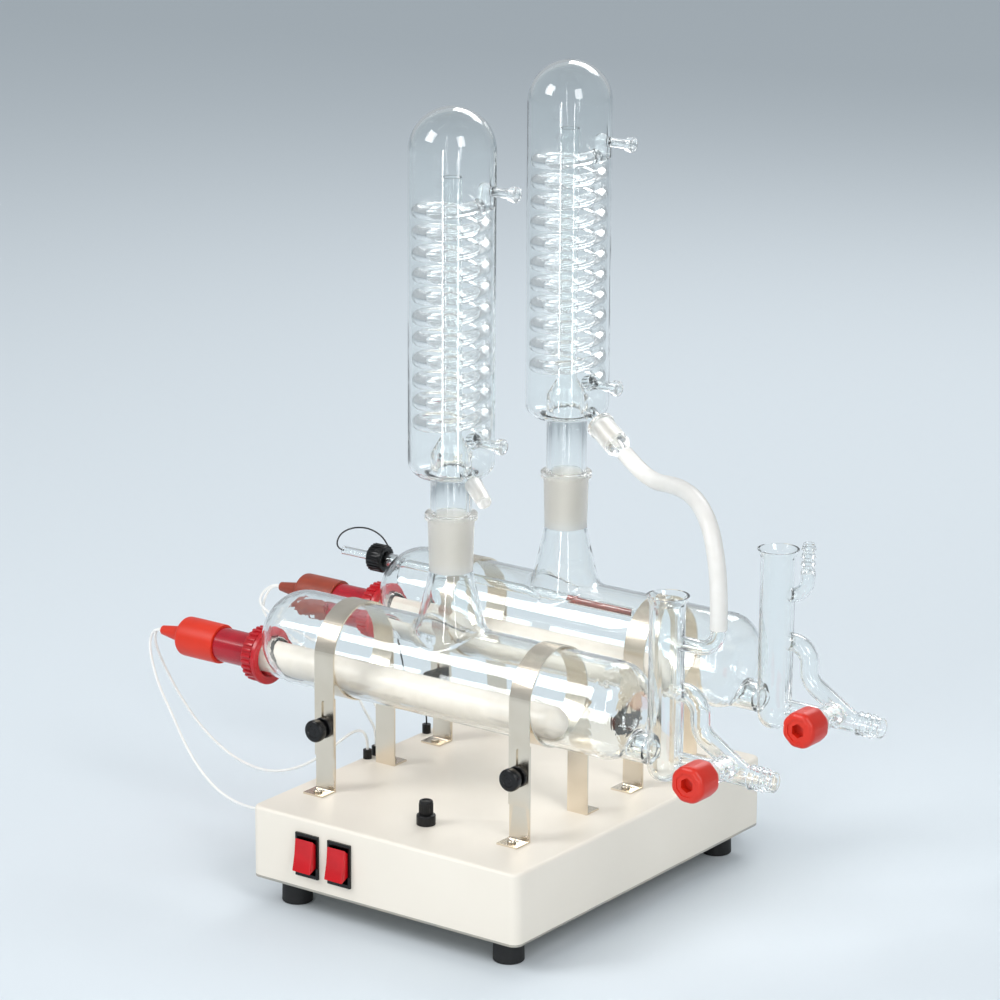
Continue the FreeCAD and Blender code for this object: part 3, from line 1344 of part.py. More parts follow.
def arc_through(start, tangent, end):
    """An arc from start, leaving along tangent, to end."""
    chord = end - start
    along = tangent * chord.dot(tangent)
    side = chord - along
    if side.Length < 1e-9:
        return Part.LineSegment(start, end).toShape()
    radius = chord.dot(chord) / (2 * side.Length)
    centre = start + side.normalize() * radius
    middle = centre + ((start - centre) + (end - centre)).normalize() * radius
    return Part.Arc(start, middle, end).toShape()


def coil_point(which, turn):
    """A point on the coil's centre line and its direction there."""
    radius = (COIL_DIAMETER - COIL_TUBE) / 2
    angle = 2 * math.pi * turn
    z = JACKET_BOTTOM[which] + COIL_START + COIL_PITCH * turn
    point = V(radius * math.cos(angle), BOILERS[which] + radius * math.sin(angle), z)
    rise = COIL_PITCH / (2 * math.pi)
    direction = V(-radius * math.sin(angle), radius * math.cos(angle), rise)
    return point, direction.normalize()


def condenser_coil(which):
    """The cooling coil: one tube on quarter-turn pairs of arcs."""
    edges = []
    joints = []
    for i in range(COIL_TURNS * QUARTERS):
        p0, t0 = coil_point(which, i / QUARTERS)
        p1, t1 = coil_point(which, (i + 1) / QUARTERS)
        v = p1 - p0
        t = t0 + t1
        spread = 2 * (1 - t0.dot(t1))
        d = (math.sqrt(v.dot(t) ** 2 + spread * v.dot(v)) - v.dot(t)) / spread
        q0 = p0 + t0 * d
        q1 = p1 - t1 * d
        joint = (q0 + q1) * 0.5
        leaving = (q1 - q0).normalize()
        edges.append(arc_through(p0, t0, joint))
        edges.append(arc_through(joint, leaving, p1))
        joints.append(p0)
    start, direction = coil_point(which, 0)
    solid = tube_along(Part.Wire(edges), start, direction, COIL_TUBE / 2)
    gaps = [
        (a - b).Length - COIL_TUBE
        for a, b in zip(joints, joints[QUARTERS:])
    ]
    print(which, "coil least gap between turns", round(min(gaps), 2))
    y = BOILERS[which]
    span = COIL_DIAMETER
    low = coil_point(which, 0)[0]
    high = coil_point(which, COIL_TURNS)[0]
    trims = [
        box(low.x - span / 4, low.x + span / 4, y - span / 4, y, low.z - COIL_TUBE, low.z + COIL_PITCH / 2),
        box(
            high.x - span / 4, high.x + span / 4, y, y + span / 4,
            high.z - COIL_PITCH / 2, high.z + COIL_TUBE,
        ),
    ]
    return solid.cut(trims)


def hose_adapter():
    """The adapter on the rear outlet cone: socket with rim, shoulder and hose spigot."""
    start, along = outlet_frame("rear")
    cone = start + along * (OUTLET_CONE_START + JACKET_WALL)
    outer = ADAPTER_SOCKET_DIAMETER / 2
    spigot = SPIGOT_DIAMETER / 2
    socket = rod(cone, along, outer, ADAPTER_SOCKET_LENGTH)
    rim = rod(cone, along, ADAPTER_RIM_DIAMETER / 2, ADAPTER_RIM_LENGTH)
    shoulder = taper(cone + along * ADAPTER_SOCKET_LENGTH, along, outer, spigot, ADAPTER_SHOULDER)
    nose = rod(
        cone + along * (ADAPTER_SOCKET_LENGTH + ADAPTER_SHOULDER), along, spigot, SPIGOT_LENGTH
    )
    body = union([socket, rim, shoulder, nose])
    taper_bore = taper(
        cone, along, OUTLET_CONE_DIAMETER / 2,
        OUTLET_CONE_DIAMETER / 2 - NECK_TAPER * OUTLET_CONE_LENGTH / 2, OUTLET_CONE_LENGTH,
    )
    way_length = ADAPTER_SOCKET_LENGTH + ADAPTER_SHOULDER + SPIGOT_LENGTH + 1
    way = rod(cone, along, ADAPTER_BORE / 2, way_length)
    return body.cut([taper_bore, way])


# Hose and wires


def hose_ends():
    """Where the hose starts on the adapter and ends on the front arm."""
    start, along = outlet_frame("rear")
    first = start + along * (
        OUTLET_CONE_START + JACKET_WALL + ADAPTER_SOCKET_LENGTH + ADAPTER_SHOULDER
    )
    last = V(LEVEL_X + FRONT_ARM_REACH, FRONT_BOILER_Y, FRONT_ARM_TOP)
    return first, along, last


def silicone_hose():
    """The hose, as the photograph shows its way, with its bore."""
    first, along, last = hose_ends()
    points = [
        first,
        first + along * 26,
        V(127, 38, 358),
        V(155, 13, 367),
        V(189, -17, 375),
        V(220, -43, 376),
        V(243, -61, 364),
        V(255, -70, 342),
        last + Z_AXIS * 28,
        last,
    ]
    outer = cord("silicone_hose", points, HOSE_DIAMETER)
    inner_radius = SPIGOT_DIAMETER / 2
    wire = arc_wire(points, cord_radii(points))
    inner = tube_along(wire, points[0], points[1] - points[0], inner_radius)
    return outer.cut(inner)


def front_leads():
    """The front heater's wires: one to the side gland, one to the first top gland."""
    tip = V(TIP_X, FRONT_BOILER_Y, HEATER_Z)
    side = side_gland_centre() - X_AXIS * GLAND_HEIGHT
    first_gland = top_gland_centres()[0] + Z_AXIS * GLAND_HEIGHT
    offset = lead_offsets()
    low = [
        tip + Y_AXIS * offset["first"],
        tip + V(-7, offset["first"], 0),
        tip + V(-11.5, offset["first"] - 0.5, -6),
        V(-325.5, -77, 160),
        V(-320, -80, 145),
        V(-308, -84, 125),
        V(-291, -88, 106),
        V(-273, -94, 86),
        V(-252, -100, 69),
        V(-228, -106, 57),
        V(-202, -111, 51.5),
        V(-176, -114, 52),
        V(-152, side.y, side.z),
        side,
    ]
    high = [
        tip + Y_AXIS * offset["second"],
        tip + V(-7, offset["second"], 0),
        tip + V(-11, offset["second"] + 0.5, -6),
        V(-324, -71, 160),
        V(-317, -69, 143),
        V(-304, -67, 121),
        V(-287, -64, 98),
        V(-266, -60, 78),
        V(-240, -56, 64),
        V(-211, -52, 60),
        V(-183, -48, 69),
        V(-160, -43, 84),
        V(-143, -38, 101),
        V(-129, -33, 112),
        first_gland + Z_AXIS * 13,
        first_gland,
    ]
    return {
        "front_lead_low": cord("front_lead_low", low, LEAD_DIAMETER),
        "front_lead_high": cord("front_lead_high", high, LEAD_DIAMETER),
    }


def rear_leads():
    """The rear heater's wires: a loop under the hood, then down to two top glands."""
    tip = V(TIP_X, REAR_BOILER_Y, HEATER_Z)
    glands = top_gland_centres()
    second = glands[1] + Z_AXIS * GLAND_HEIGHT
    third = glands[2] + Z_AXIS * GLAND_HEIGHT
    offset = lead_offsets()
    low = [
        tip + Y_AXIS * offset["first"],
        tip + V(-7, offset["first"], 0),
        tip + V(-11, offset["first"] - 3.5, -5),
        tip + V(-9, offset["first"] - 13, -13),
        V(-314, 65, 156),
        V(-290, 57, 149),
        V(-262, 48, 143),
        V(-232, 39, 138),
        V(-200, 28, 134),
        V(-171, 16, 130),
        V(-146, second.y + 10, 125),
        V(second.x - 10, second.y + 4, 115),
        second + Z_AXIS * 14,
        second,
    ]
    high = [
        tip + Y_AXIS * offset["second"],
        tip + V(-7, offset["second"], 0),
        tip + V(-13.5, offset["second"] - 3.5, -3),
        tip + V(-14.5, offset["second"] - 13, -8),
        V(-318, 65, 163),
        V(-293, 58, 158),
        V(-264, 50, 153),
        V(-233, 44, 149),
        V(-201, 35, 144),
        V(-172, 25, 138),
        V(-147, third.y + 13, 130),
        V(third.x - 10, third.y + 5, 117),
        third + Z_AXIS * 14,
        third,
    ]
    return {
        "rear_lead_low": cord("rear_lead_low", low, LEAD_DIAMETER),
        "rear_lead_high": cord("rear_lead_high", high, LEAD_DIAMETER),
    }


def probe_wire():
    """The probe's thin wire: a loop over its cap, then down behind the heater to the box."""
    start = V(-BOILER_END - PROBE_TUBE_OUTSIDE, REAR_BOILER_Y, PROBE_Z)
    end = top_gland_centres()[3] + Z_AXIS * GLAND_HEIGHT
    points = [
        start,
        start + V(-6, 0, 0),
        start + V(-11, 3, 5),
        start + V(-9, 8, 13),
        start + V(0, 15, 18),
        start + V(13, 23, 17),
        start + V(24, 30, 7),
        start + V(29, 33, -12),
        start + V(32, 33, -36),
        start + V(38, 30, -62),
        start + V(48, 22, -86),
        start + V(61, 9, -106),
        start + V(78, -7, -118),
        start + V(96, -22, -120),
        end + V(-7, 3, 16),
        end + Z_AXIS * 13,
        end,
    ]
    return cord("probe_wire", points, PROBE_WIRE_DIAMETER)


def main():
    """Builds every piece and writes its node."""
    os.makedirs("parts", exist_ok=True)
    save("base_cover", base_cover())
    save("base_plate", base_plate())
    save("rubber_feet", rubber_feet())
    save("foot_screws", foot_screws())
    for side, centre in switch_centres().items():
        save(side + "_switch_frame", switch_bezel(centre))
        save(side + "_rocker", rocker(centre))
    save("fuse_body", fuse_body())
    save("fuse_cap", fuse_cap())
    save("fuse_link", fuse_link())
    save("fuse_nut", fuse_nut())
    save("cable_glands", cable_glands())
    save("mains_inlet", mains_inlet())
    save("terminal_block", terminal_block())
    for which, y in BOILERS.items():
        for side, x in STRAP_SIDES.items():
            name = which + "_" + side
            save(name + "_strap_band", strap_band(x, y))
            save(name + "_strap_bracket", strap_bracket(x, y))
            save(name + "_clamp_knob", clamp_knob(x, y))
        save(which + "_boiler", boiler(which))
        save(which + "_heater_sheath", heater_sheath(y))
        save(which + "_heater_cap", heater_cap(y))
        save(which + "_heater_hood", heater_hood(y))
        save(which + "_condenser_jacket", condenser_jacket(which))
        save(which + "_condenser_coil", condenser_coil(which))
        save(which + "_level_device", level_device(which))
        save(which + "_stopcock_key", stopcock_key(y))
        save(which + "_stopcock_knob", stopcock_knob(y))
    save("strap_saddles", strap_saddles())
    save("clamp_nuts", clamp_nuts())
    save("strap_screws", strap_screws())
    save("heater_cores", heater_cores())
    save("heater_seals", heater_seals())
    save("probe_tube", probe_tube())
    save("probe_tip", probe_tip())
    save("probe_cap", probe_cap())
    save("hose_adapter", hose_adapter())
    save("silicone_hose", silicone_hose())
    for name, solid in {**front_leads(), **rear_leads()}.items():
        save(name, solid)
    save("probe_wire", probe_wire())


if __name__ == "__main__":
    main()
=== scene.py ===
"""A glass double water distiller on its control box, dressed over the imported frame."""

import logging
import math
from collections.abc import Callable
from dataclasses import dataclass
from enum import Enum

import bpy
from mathutils import Matrix, Vector


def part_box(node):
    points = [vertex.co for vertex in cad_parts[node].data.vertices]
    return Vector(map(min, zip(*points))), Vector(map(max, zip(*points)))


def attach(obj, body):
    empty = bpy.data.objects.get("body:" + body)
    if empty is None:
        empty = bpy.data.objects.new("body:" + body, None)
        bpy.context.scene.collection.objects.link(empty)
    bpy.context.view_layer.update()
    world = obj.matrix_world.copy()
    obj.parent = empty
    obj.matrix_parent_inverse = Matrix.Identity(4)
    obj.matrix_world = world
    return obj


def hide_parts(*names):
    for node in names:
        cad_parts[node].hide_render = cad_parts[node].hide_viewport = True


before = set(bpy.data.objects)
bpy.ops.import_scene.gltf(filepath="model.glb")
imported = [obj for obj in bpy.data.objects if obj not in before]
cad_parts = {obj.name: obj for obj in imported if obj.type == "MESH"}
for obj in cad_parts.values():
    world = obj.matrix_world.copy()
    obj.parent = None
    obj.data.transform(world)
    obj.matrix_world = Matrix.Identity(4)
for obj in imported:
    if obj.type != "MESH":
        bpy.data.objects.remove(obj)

LOG = logging.getLogger("distiller")
MM = 0.001
# A face whose normal leans along the axis less than this is a side face.
SIDE_FACE = 0.2
# A ray crosses many walls of glass before it leaves the still.
GLASS_BOUNCES = 32
Point = tuple[float, float, float]
Ring = tuple[float, float]


class Side(Enum):
    """The two boilers, told apart by their place."""

    FRONT = "front"
    REAR = "rear"


class Hand(Enum):
    """Left and right, seen from the switches."""

    LEFT = "left"
    RIGHT = "right"


# Small helpers


def linear(code: str) -> tuple[float, float, float, float]:
    """Turns an sRGB hex colour into linear light.

    Args:
        code: The colour, such as "#C8102E".

    Returns:
        Red, green, blue and an alpha of 1.
    """
    parts = [int(code[i : i + 2], 16) / 255 for i in (1, 3, 5)]
    out = [c / 12.92 if c <= 0.04045 else ((c + 0.055) / 1.055) ** 2.4 for c in parts]
    return (out[0], out[1], out[2], 1.0)


def per_metre(size_mm: float) -> float:
    """The texture scale of a pattern whose features are size_mm across."""
    return 1.0 / (size_mm * MM)


def add(
    tree: bpy.types.NodeTree,
    kind: str,
    settings: dict | None = None,
    links: dict | None = None,
) -> bpy.types.Node:
    """Adds a node with its settings and links.

    Args:
        tree: The material's node tree.
        kind: The node's type.
        settings: Properties or input values, by name or input number.
        links: Input name or number to a pair of node and output.

    Returns:
        The new node.
    """
    node = tree.nodes.new(kind)
    for key, value in (settings or {}).items():
        if isinstance(key, str) and hasattr(node, key):
            setattr(node, key, value)
        else:
            node.inputs[key].default_value = value
    for key, (source, output) in (links or {}).items():
        tree.links.new(source.outputs[output], node.inputs[key])
    return node


def new_material(name: str) -> tuple[bpy.types.Material, bpy.types.NodeTree, bpy.types.Node]:
    """Starts a material.

    Args:
        name: What the real material is.

    Returns:
        The material, its tree and its Principled shader.
    """
    material = bpy.data.materials.new(name)
    material.use_nodes = True
    tree = material.node_tree
    shader = next(n for n in tree.nodes if n.type == "BSDF_PRINCIPLED")
    return material, tree, shader


def clear_selection() -> None:
    """Leaves edit mode and deselects everything."""
    active = bpy.context.view_layer.objects.active
    if active is not None and active.mode != "OBJECT":
        bpy.ops.object.mode_set(mode="OBJECT")
    bpy.ops.object.select_all(action="DESELECT")


def choose(piece: bpy.types.Object) -> None:
    """Selects one piece alone and makes it active."""
    clear_selection()
    piece.select_set(True)
    bpy.context.view_layer.objects.active = piece


def settle(piece: bpy.types.Object, place: Vector, along: Vector) -> None:
    """Turns a piece made along +Z to a direction, moves it, and applies both.

    Args:
        piece: The piece, made round the world's origin.
        place: Where its own origin goes, in metres.
        along: Where its +Z goes.
    """
    choose(piece)
    bpy.ops.object.transform_apply(location=True, rotation=True, scale=True)
    turn = Vector((0, 0, 1)).rotation_difference(along.normalized())
    piece.rotation_mode = "QUATERNION"
    piece.rotation_quaternion = turn
    piece.location = place
    bpy.ops.object.transform_apply(location=True, rotation=True, scale=True)


def smooth(piece: bpy.types.Object, angle: float = 32.0) -> None:
    """Shades a piece smooth where its faces meet at less than an angle in degrees."""
    choose(piece)
    bpy.ops.object.shade_smooth_by_angle(angle=math.radians(angle))


def tidy_faces(piece: bpy.types.Object) -> None:
    """Merges doubles and turns the faces outwards."""
    choose(piece)
    bpy.ops.object.mode_set(mode="EDIT")
    bpy.ops.mesh.select_all(action="SELECT")
    bpy.ops.mesh.remove_doubles(threshold=1e-6)
    bpy.ops.mesh.normals_make_consistent(inside=False)
    bpy.ops.object.mode_set(mode="OBJECT")


def pick_faces(piece: bpy.types.Object, test: Callable[[Vector, Vector], bool]) -> int:
    """Selects the faces whose centre and normal pass a test, in edit mode.

    Args:
        piece: The piece, in edit mode.
        test: A function of a face's centre and normal.

    Returns:
        How many were selected.
    """
    bpy.ops.mesh.select_mode(type="FACE")
    bpy.ops.mesh.select_all(action="DESELECT")
    bpy.ops.object.mode_set(mode="OBJECT")
    count = 0
    for face in piece.data.polygons:
        face.select = bool(test(face.center, face.normal))
        count += face.select
    bpy.ops.object.mode_set(mode="EDIT")
    return count


def arc_rings(
    middle: Ring, radius: float, start: float, stop: float, steps: int
) -> list[Ring]:
    """Points of a round corner in a profile.

    Args:
        middle: The arc's centre, as (along, out).
        radius: The arc's radius.
        start: First angle in degrees, 0 being outwards and 90 along the axis.
        stop: Last angle.
        steps: How many spans.

    Returns:
        The arc's points, ends included.
    """
    rings = []
    for i in range(steps + 1):
        angle = math.radians(start + (stop - start) * i / steps)
        rings.append((middle[0] + radius * math.sin(angle), middle[1] + radius * math.cos(angle)))
    return rings


def turned(name: str, rings: list[Ring], sides: int = 64, hollow: bool = False) -> bpy.types.Object:
    """Turns a profile round +Z: a circle, extruded and scaled ring by ring.

    Args:
        name: The piece's name.
        rings: The profile in millimetres, as (along, out).
        sides: How many sides the circle has.
        hollow: True when the last ring is bridged to the first.

    Returns:
        The piece, round the world's origin.
    """
    clear_selection()
    z, r = rings[0][0] * MM, rings[0][1] * MM
    bpy.ops.mesh.primitive_circle_add(vertices=sides, radius=r, location=(0, 0, 0), fill_type="NOTHING")
    piece = bpy.context.object
    piece.name = name
    bpy.ops.object.mode_set(mode="EDIT")
    bpy.ops.mesh.select_all(action="SELECT")
    bpy.ops.transform.translate(value=(0, 0, z))
    if not hollow:
        bpy.ops.mesh.edge_face_add()
        bpy.ops.mesh.select_mode(type="EDGE")
    for along, out in rings[1:]:
        out *= MM
        along *= MM
        bpy.ops.mesh.extrude_edges_move(TRANSFORM_OT_translate={"value": (0, 0, along - z)})
        ratio = out / r
        if abs(ratio - 1) > 1e-7:
            bpy.ops.transform.resize(value=(ratio, ratio, 1), center_override=(0, 0, along))
        z, r = along, out
    if not hollow:
        bpy.ops.mesh.edge_face_add()
    bpy.ops.object.mode_set(mode="OBJECT")
    if hollow:
        join_end_rings(piece, sides)
    tidy_faces(piece)
    return piece


def join_end_rings(piece: bpy.types.Object, sides: int) -> None:
    """Bridges a turned piece's first ring to its last."""
    count = len(piece.data.vertices)
    ends = set(range(sides)) | set(range(count - sides, count))
    choose(piece)
    bpy.ops.object.mode_set(mode="EDIT")
    bpy.ops.mesh.select_mode(type="EDGE")
    bpy.ops.mesh.select_all(action="DESELECT")
    bpy.ops.object.mode_set(mode="OBJECT")
    for edge in piece.data.edges:
        a, b = edge.vertices
        both_first = a < sides and b < sides
        both_last = a >= count - sides and b >= count - sides
        edge.select = (a in ends and b in ends) and (both_first or both_last)
    bpy.ops.object.mode_set(mode="EDIT")
    bpy.ops.mesh.bridge_edge_loops()
    bpy.ops.object.mode_set(mode="OBJECT")


def raise_ribs(
    piece: bpy.types.Object, low: float, high: float, sides: int, least: float, height: float
) -> None:
    """Pushes out every other side face between two heights, as moulded ribs.

    Args:
        piece: A turned piece, still along +Z.
        low: Lower end of the ribbed band, in millimetres.
        high: Upper end of the band.
        sides: The piece's number of sides.
        least: Faces nearer to the axis than this aren't pushed.
        height: How far the ribs stand out.
    """
    choose(piece)
    bpy.ops.object.mode_set(mode="EDIT")

    def in_band(centre: Vector, normal: Vector) -> bool:
        turn = (math.atan2(centre.y, centre.x) / (2 * math.pi)) % 1.0
        out = math.hypot(centre.x, centre.y)
        every_other = int(turn * sides) % 2 == 0
        along_band = low * MM < centre.z < high * MM
        return every_other and along_band and out > least * MM and abs(normal.z) < SIDE_FACE

    pick_faces(piece, in_band)
    bpy.ops.mesh.inset(thickness=0.12 * MM, use_individual=True)
    bpy.ops.mesh.extrude_region_shrink_fatten(
        TRANSFORM_OT_shrink_fatten={"value": height * MM}
    )
    bpy.ops.object.mode_set(mode="OBJECT")


def soften(piece: bpy.types.Object, width: float, segments: int = 2, angle: float = 35.0) -> None:
    """Bevels a piece's sharp edges with a modifier, applied.

    Args:
        piece: The piece.
        width: The bevel's width in millimetres.
        segments: How many spans it has.
        angle: Edges sharper than this are bevelled.
    """
    choose(piece)
    bevel = piece.modifiers.new("edge round", "BEVEL")
    bevel.width = width * MM
    bevel.segments = segments
    bevel.limit_method = "ANGLE"
    bevel.angle_limit = math.radians(angle)
    bpy.ops.object.modifier_apply(modifier=bevel.name)


def finish_piece(
    piece: bpy.types.Object,
    material: bpy.types.Material,
    body: str,
    slot: str,
    *nodes: str,
) -> bpy.types.Object:
    """Dresses a piece and hands it to its body.

    Args:
        piece: The finished mesh.
        material: Its material.
        body: The body it rides on.
        slot: The record's slot for its finish; not used.
        nodes: The nodes that it stands for.

    Returns:
        The piece.
    """
    piece.data.materials.clear()
    piece.data.materials.append(material)
    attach(piece, body)
    if nodes:
        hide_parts(*nodes)
    LOG.info("piece %s on %s, %d faces", piece.name, body, len(getattr(piece.data, "polygons", [])))
    return piece


def from_node(node: str, name: str, angle: float = 30.0) -> bpy.types.Object:
    """Copies a node's mesh, merges its loose triangles and shades it smooth.

    Args:
        node: The node.
        name: The new piece's name.
        angle: Edges sharper than this stay sharp.

    Returns:
        The new piece.
    """
    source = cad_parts[node]
    piece = bpy.data.objects.new(name, source.data.copy())
    bpy.context.scene.collection.objects.link(piece)
    choose(piece)
    bpy.ops.object.mode_set(mode="EDIT")
    bpy.ops.mesh.select_all(action="SELECT")
    bpy.ops.mesh.remove_doubles(threshold=2e-6)
    bpy.ops.object.mode_set(mode="OBJECT")
    smooth(piece, angle)
    weigh_normals(piece)
    return piece


def weigh_normals(piece: bpy.types.Object) -> None:
    """Keeps broad flat faces flat where they run into a small round."""
    choose(piece)
    weigh = piece.modifiers.new("flat faces lead", "WEIGHTED_NORMAL")
    weigh.keep_sharp = True
    weigh.weight = 90
    bpy.ops.object.modifier_apply(modifier=weigh.name)


@dataclass(frozen=True)
class Extent:
    """The room that a node takes, in millimetres."""

    low: Vector
    high: Vector

    @property
    def middle(self) -> Vector:
        """The centre of the room."""
        return (self.low + self.high) / 2

    @property
    def size(self) -> Vector:
        """Its length, depth and height."""
        return self.high - self.low


def extent(node: str) -> Extent:
    """Measures a node of the frame.

    Args:
        node: The node's name.

    Returns:
        Its extent in millimetres.
    """
    low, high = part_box(node)
    return Extent(Vector(low) / MM, Vector(high) / MM)


# Finishes


@dataclass(frozen=True)
class PowderCoat:
    """Cream powder coat on steel sheet: satin, with a fine orange peel."""

    name: str = "cream_powder_coat"
    colour: str = "#ECE5D9"
    shade: str = "#E4DCCF"
    peel_mm: float = 1.6
    cloud_mm: float = 90.0
    least_roughness: float = 0.34
    most_roughness: float = 0.46

    def build(self) -> bpy.types.Material:
        """Returns the material."""
        material, tree, shader = new_material(self.name)
        where = add(tree, "ShaderNodeTexCoord")
        cloud = add(
            tree, "ShaderNodeTexNoise", {"Scale": per_metre(self.cloud_mm), "Detail": 3.0},
            {"Vector": (where, "Object")},
        )
        tint = add(
            tree, "ShaderNodeMix",
            {"data_type": "RGBA", 6: linear(self.shade), 7: linear(self.colour)},
            {0: (cloud, "Fac")},
        )
        tree.links.new(tint.outputs[2], shader.inputs["Base Color"])
        peel = add(
            tree, "ShaderNodeTexNoise", {"Scale": per_metre(self.peel_mm), "Detail": 2.0},
            {"Vector": (where, "Object")},
        )
        rough = add(
            tree, "ShaderNodeMapRange",
            {"To Min": self.least_roughness, "To Max": self.most_roughness},
            {"Value": (peel, "Fac")},
        )
        tree.links.new(rough.outputs["Result"], shader.inputs["Roughness"])
        bump = add(
            tree, "ShaderNodeBump", {"Strength": 0.16, "Distance": 0.00012},
            {"Height": (peel, "Fac")},
        )
        tree.links.new(bump.outputs["Normal"], shader.inputs["Normal"])
        shader.inputs["Specular IOR Level"].default_value = 0.45
        return material


@dataclass(frozen=True)
class RolledSteel:
    """Stainless steel strip, rolled and polished: faint lines along its length."""

    name: str = "polished_stainless_strip"
    # The cream tint of this steel colour is painted reflection of the cream box, laid over the steel's
    # own tone; the smear tone varies at random.
    colour: str = "#EDE3D4"
    line_mm: float = 0.35
    run_mm: float = 60.0
    roughness: float = 0.24
    smear: str = "#D6CAB7"
    smear_mm: float = 25.0

    def build(self) -> bpy.types.Material:
        """Returns the material."""
        material, tree, shader = new_material(self.name)
        shader.inputs["Metallic"].default_value = 1.0
        where = add(tree, "ShaderNodeTexCoord")
        stretch = add(
            tree, "ShaderNodeMapping",
            {"Scale": (per_metre(self.line_mm), per_metre(self.run_mm), per_metre(self.run_mm))},
            {"Vector": (where, "Object")},
        )
        lines = add(
            tree, "ShaderNodeTexNoise", {"Scale": 1.0, "Detail": 4.0, "Roughness": 0.6},
            {"Vector": (stretch, "Vector")},
        )
        rough = add(
            tree, "ShaderNodeMapRange",
            {"To Min": self.roughness - 0.03, "To Max": self.roughness + 0.05},
            {"Value": (lines, "Fac")},
        )
        tree.links.new(rough.outputs["Result"], shader.inputs["Roughness"])
        smear = add(
            tree, "ShaderNodeTexNoise", {"Scale": per_metre(self.smear_mm), "Detail": 2.0},
            {"Vector": (where, "Object")},
        )
        tint = add(
            tree, "ShaderNodeMix",
            {"data_type": "RGBA", 6: linear(self.smear), 7: linear(self.colour)},
            {0: (smear, "Fac")},
        )
        tree.links.new(tint.outputs[2], shader.inputs["Base Color"])
        bump = add(
            tree, "ShaderNodeBump", {"Strength": 0.04, "Distance": 0.00004},
            {"Height": (lines, "Fac")},
        )
        tree.links.new(bump.outputs["Normal"], shader.inputs["Normal"])
        return material


@dataclass(frozen=True)
class Moulded:
    """Injection-moulded plastic or rubber: a fine eroded-mould grain and slight colour drift."""

    name: str
    colour: str
    shade: str
    roughness: float = 0.35
    grain_mm: float = 0.5
    grain: float = 0.06
    coat: float = 0.0
    glow: float = 0.0
    specular: float = 0.5
    drift_mm: float = 14.0

    def build(self) -> bpy.types.Material:
        """Returns the material."""
        material, tree, shader = new_material(self.name)
        where = add(tree, "ShaderNodeTexCoord")
        drift = add(
            tree, "ShaderNodeTexNoise", {"Scale": per_metre(self.drift_mm), "Detail": 2.0},
            {"Vector": (where, "Object")},
        )
        tint = add(
            tree, "ShaderNodeMix",
            {"data_type": "RGBA", 6: linear(self.shade), 7: linear(self.colour)},
            {0: (drift, "Fac")},
        )
        tree.links.new(tint.outputs[2], shader.inputs["Base Color"])
        grain = add(
            tree, "ShaderNodeTexNoise", {"Scale": per_metre(self.grain_mm), "Detail": 2.0},
            {"Vector": (where, "Object")},
        )
        rough = add(
            tree, "ShaderNodeMapRange",
            {"To Min": self.roughness - 0.05, "To Max": self.roughness + 0.08},
            {"Value": (grain, "Fac")},
        )
        tree.links.new(rough.outputs["Result"], shader.inputs["Roughness"])
        bump = add(
            tree, "ShaderNodeBump", {"Strength": self.grain, "Distance": 0.00008},
            {"Height": (grain, "Fac")},
        )
        tree.links.new(bump.outputs["Normal"], shader.inputs["Normal"])
        shader.inputs["Specular IOR Level"].default_value = self.specular
        shader.inputs["Coat Weight"].default_value = self.coat
        shader.inputs["Coat Roughness"].default_value = 0.08
        if self.glow > 0:
            shader.inputs["Subsurface Weight"].default_value = self.glow
            shader.inputs["Subsurface Radius"].default_value = (0.004, 0.0015, 0.001)
        return material


@dataclass(frozen=True)
class FrostedBand:
    """A ground zone on glass: between two distances along a direction from a point."""

    origin: Point
    along: Point
    start: float
    stop: float
    fade: float = 0.4


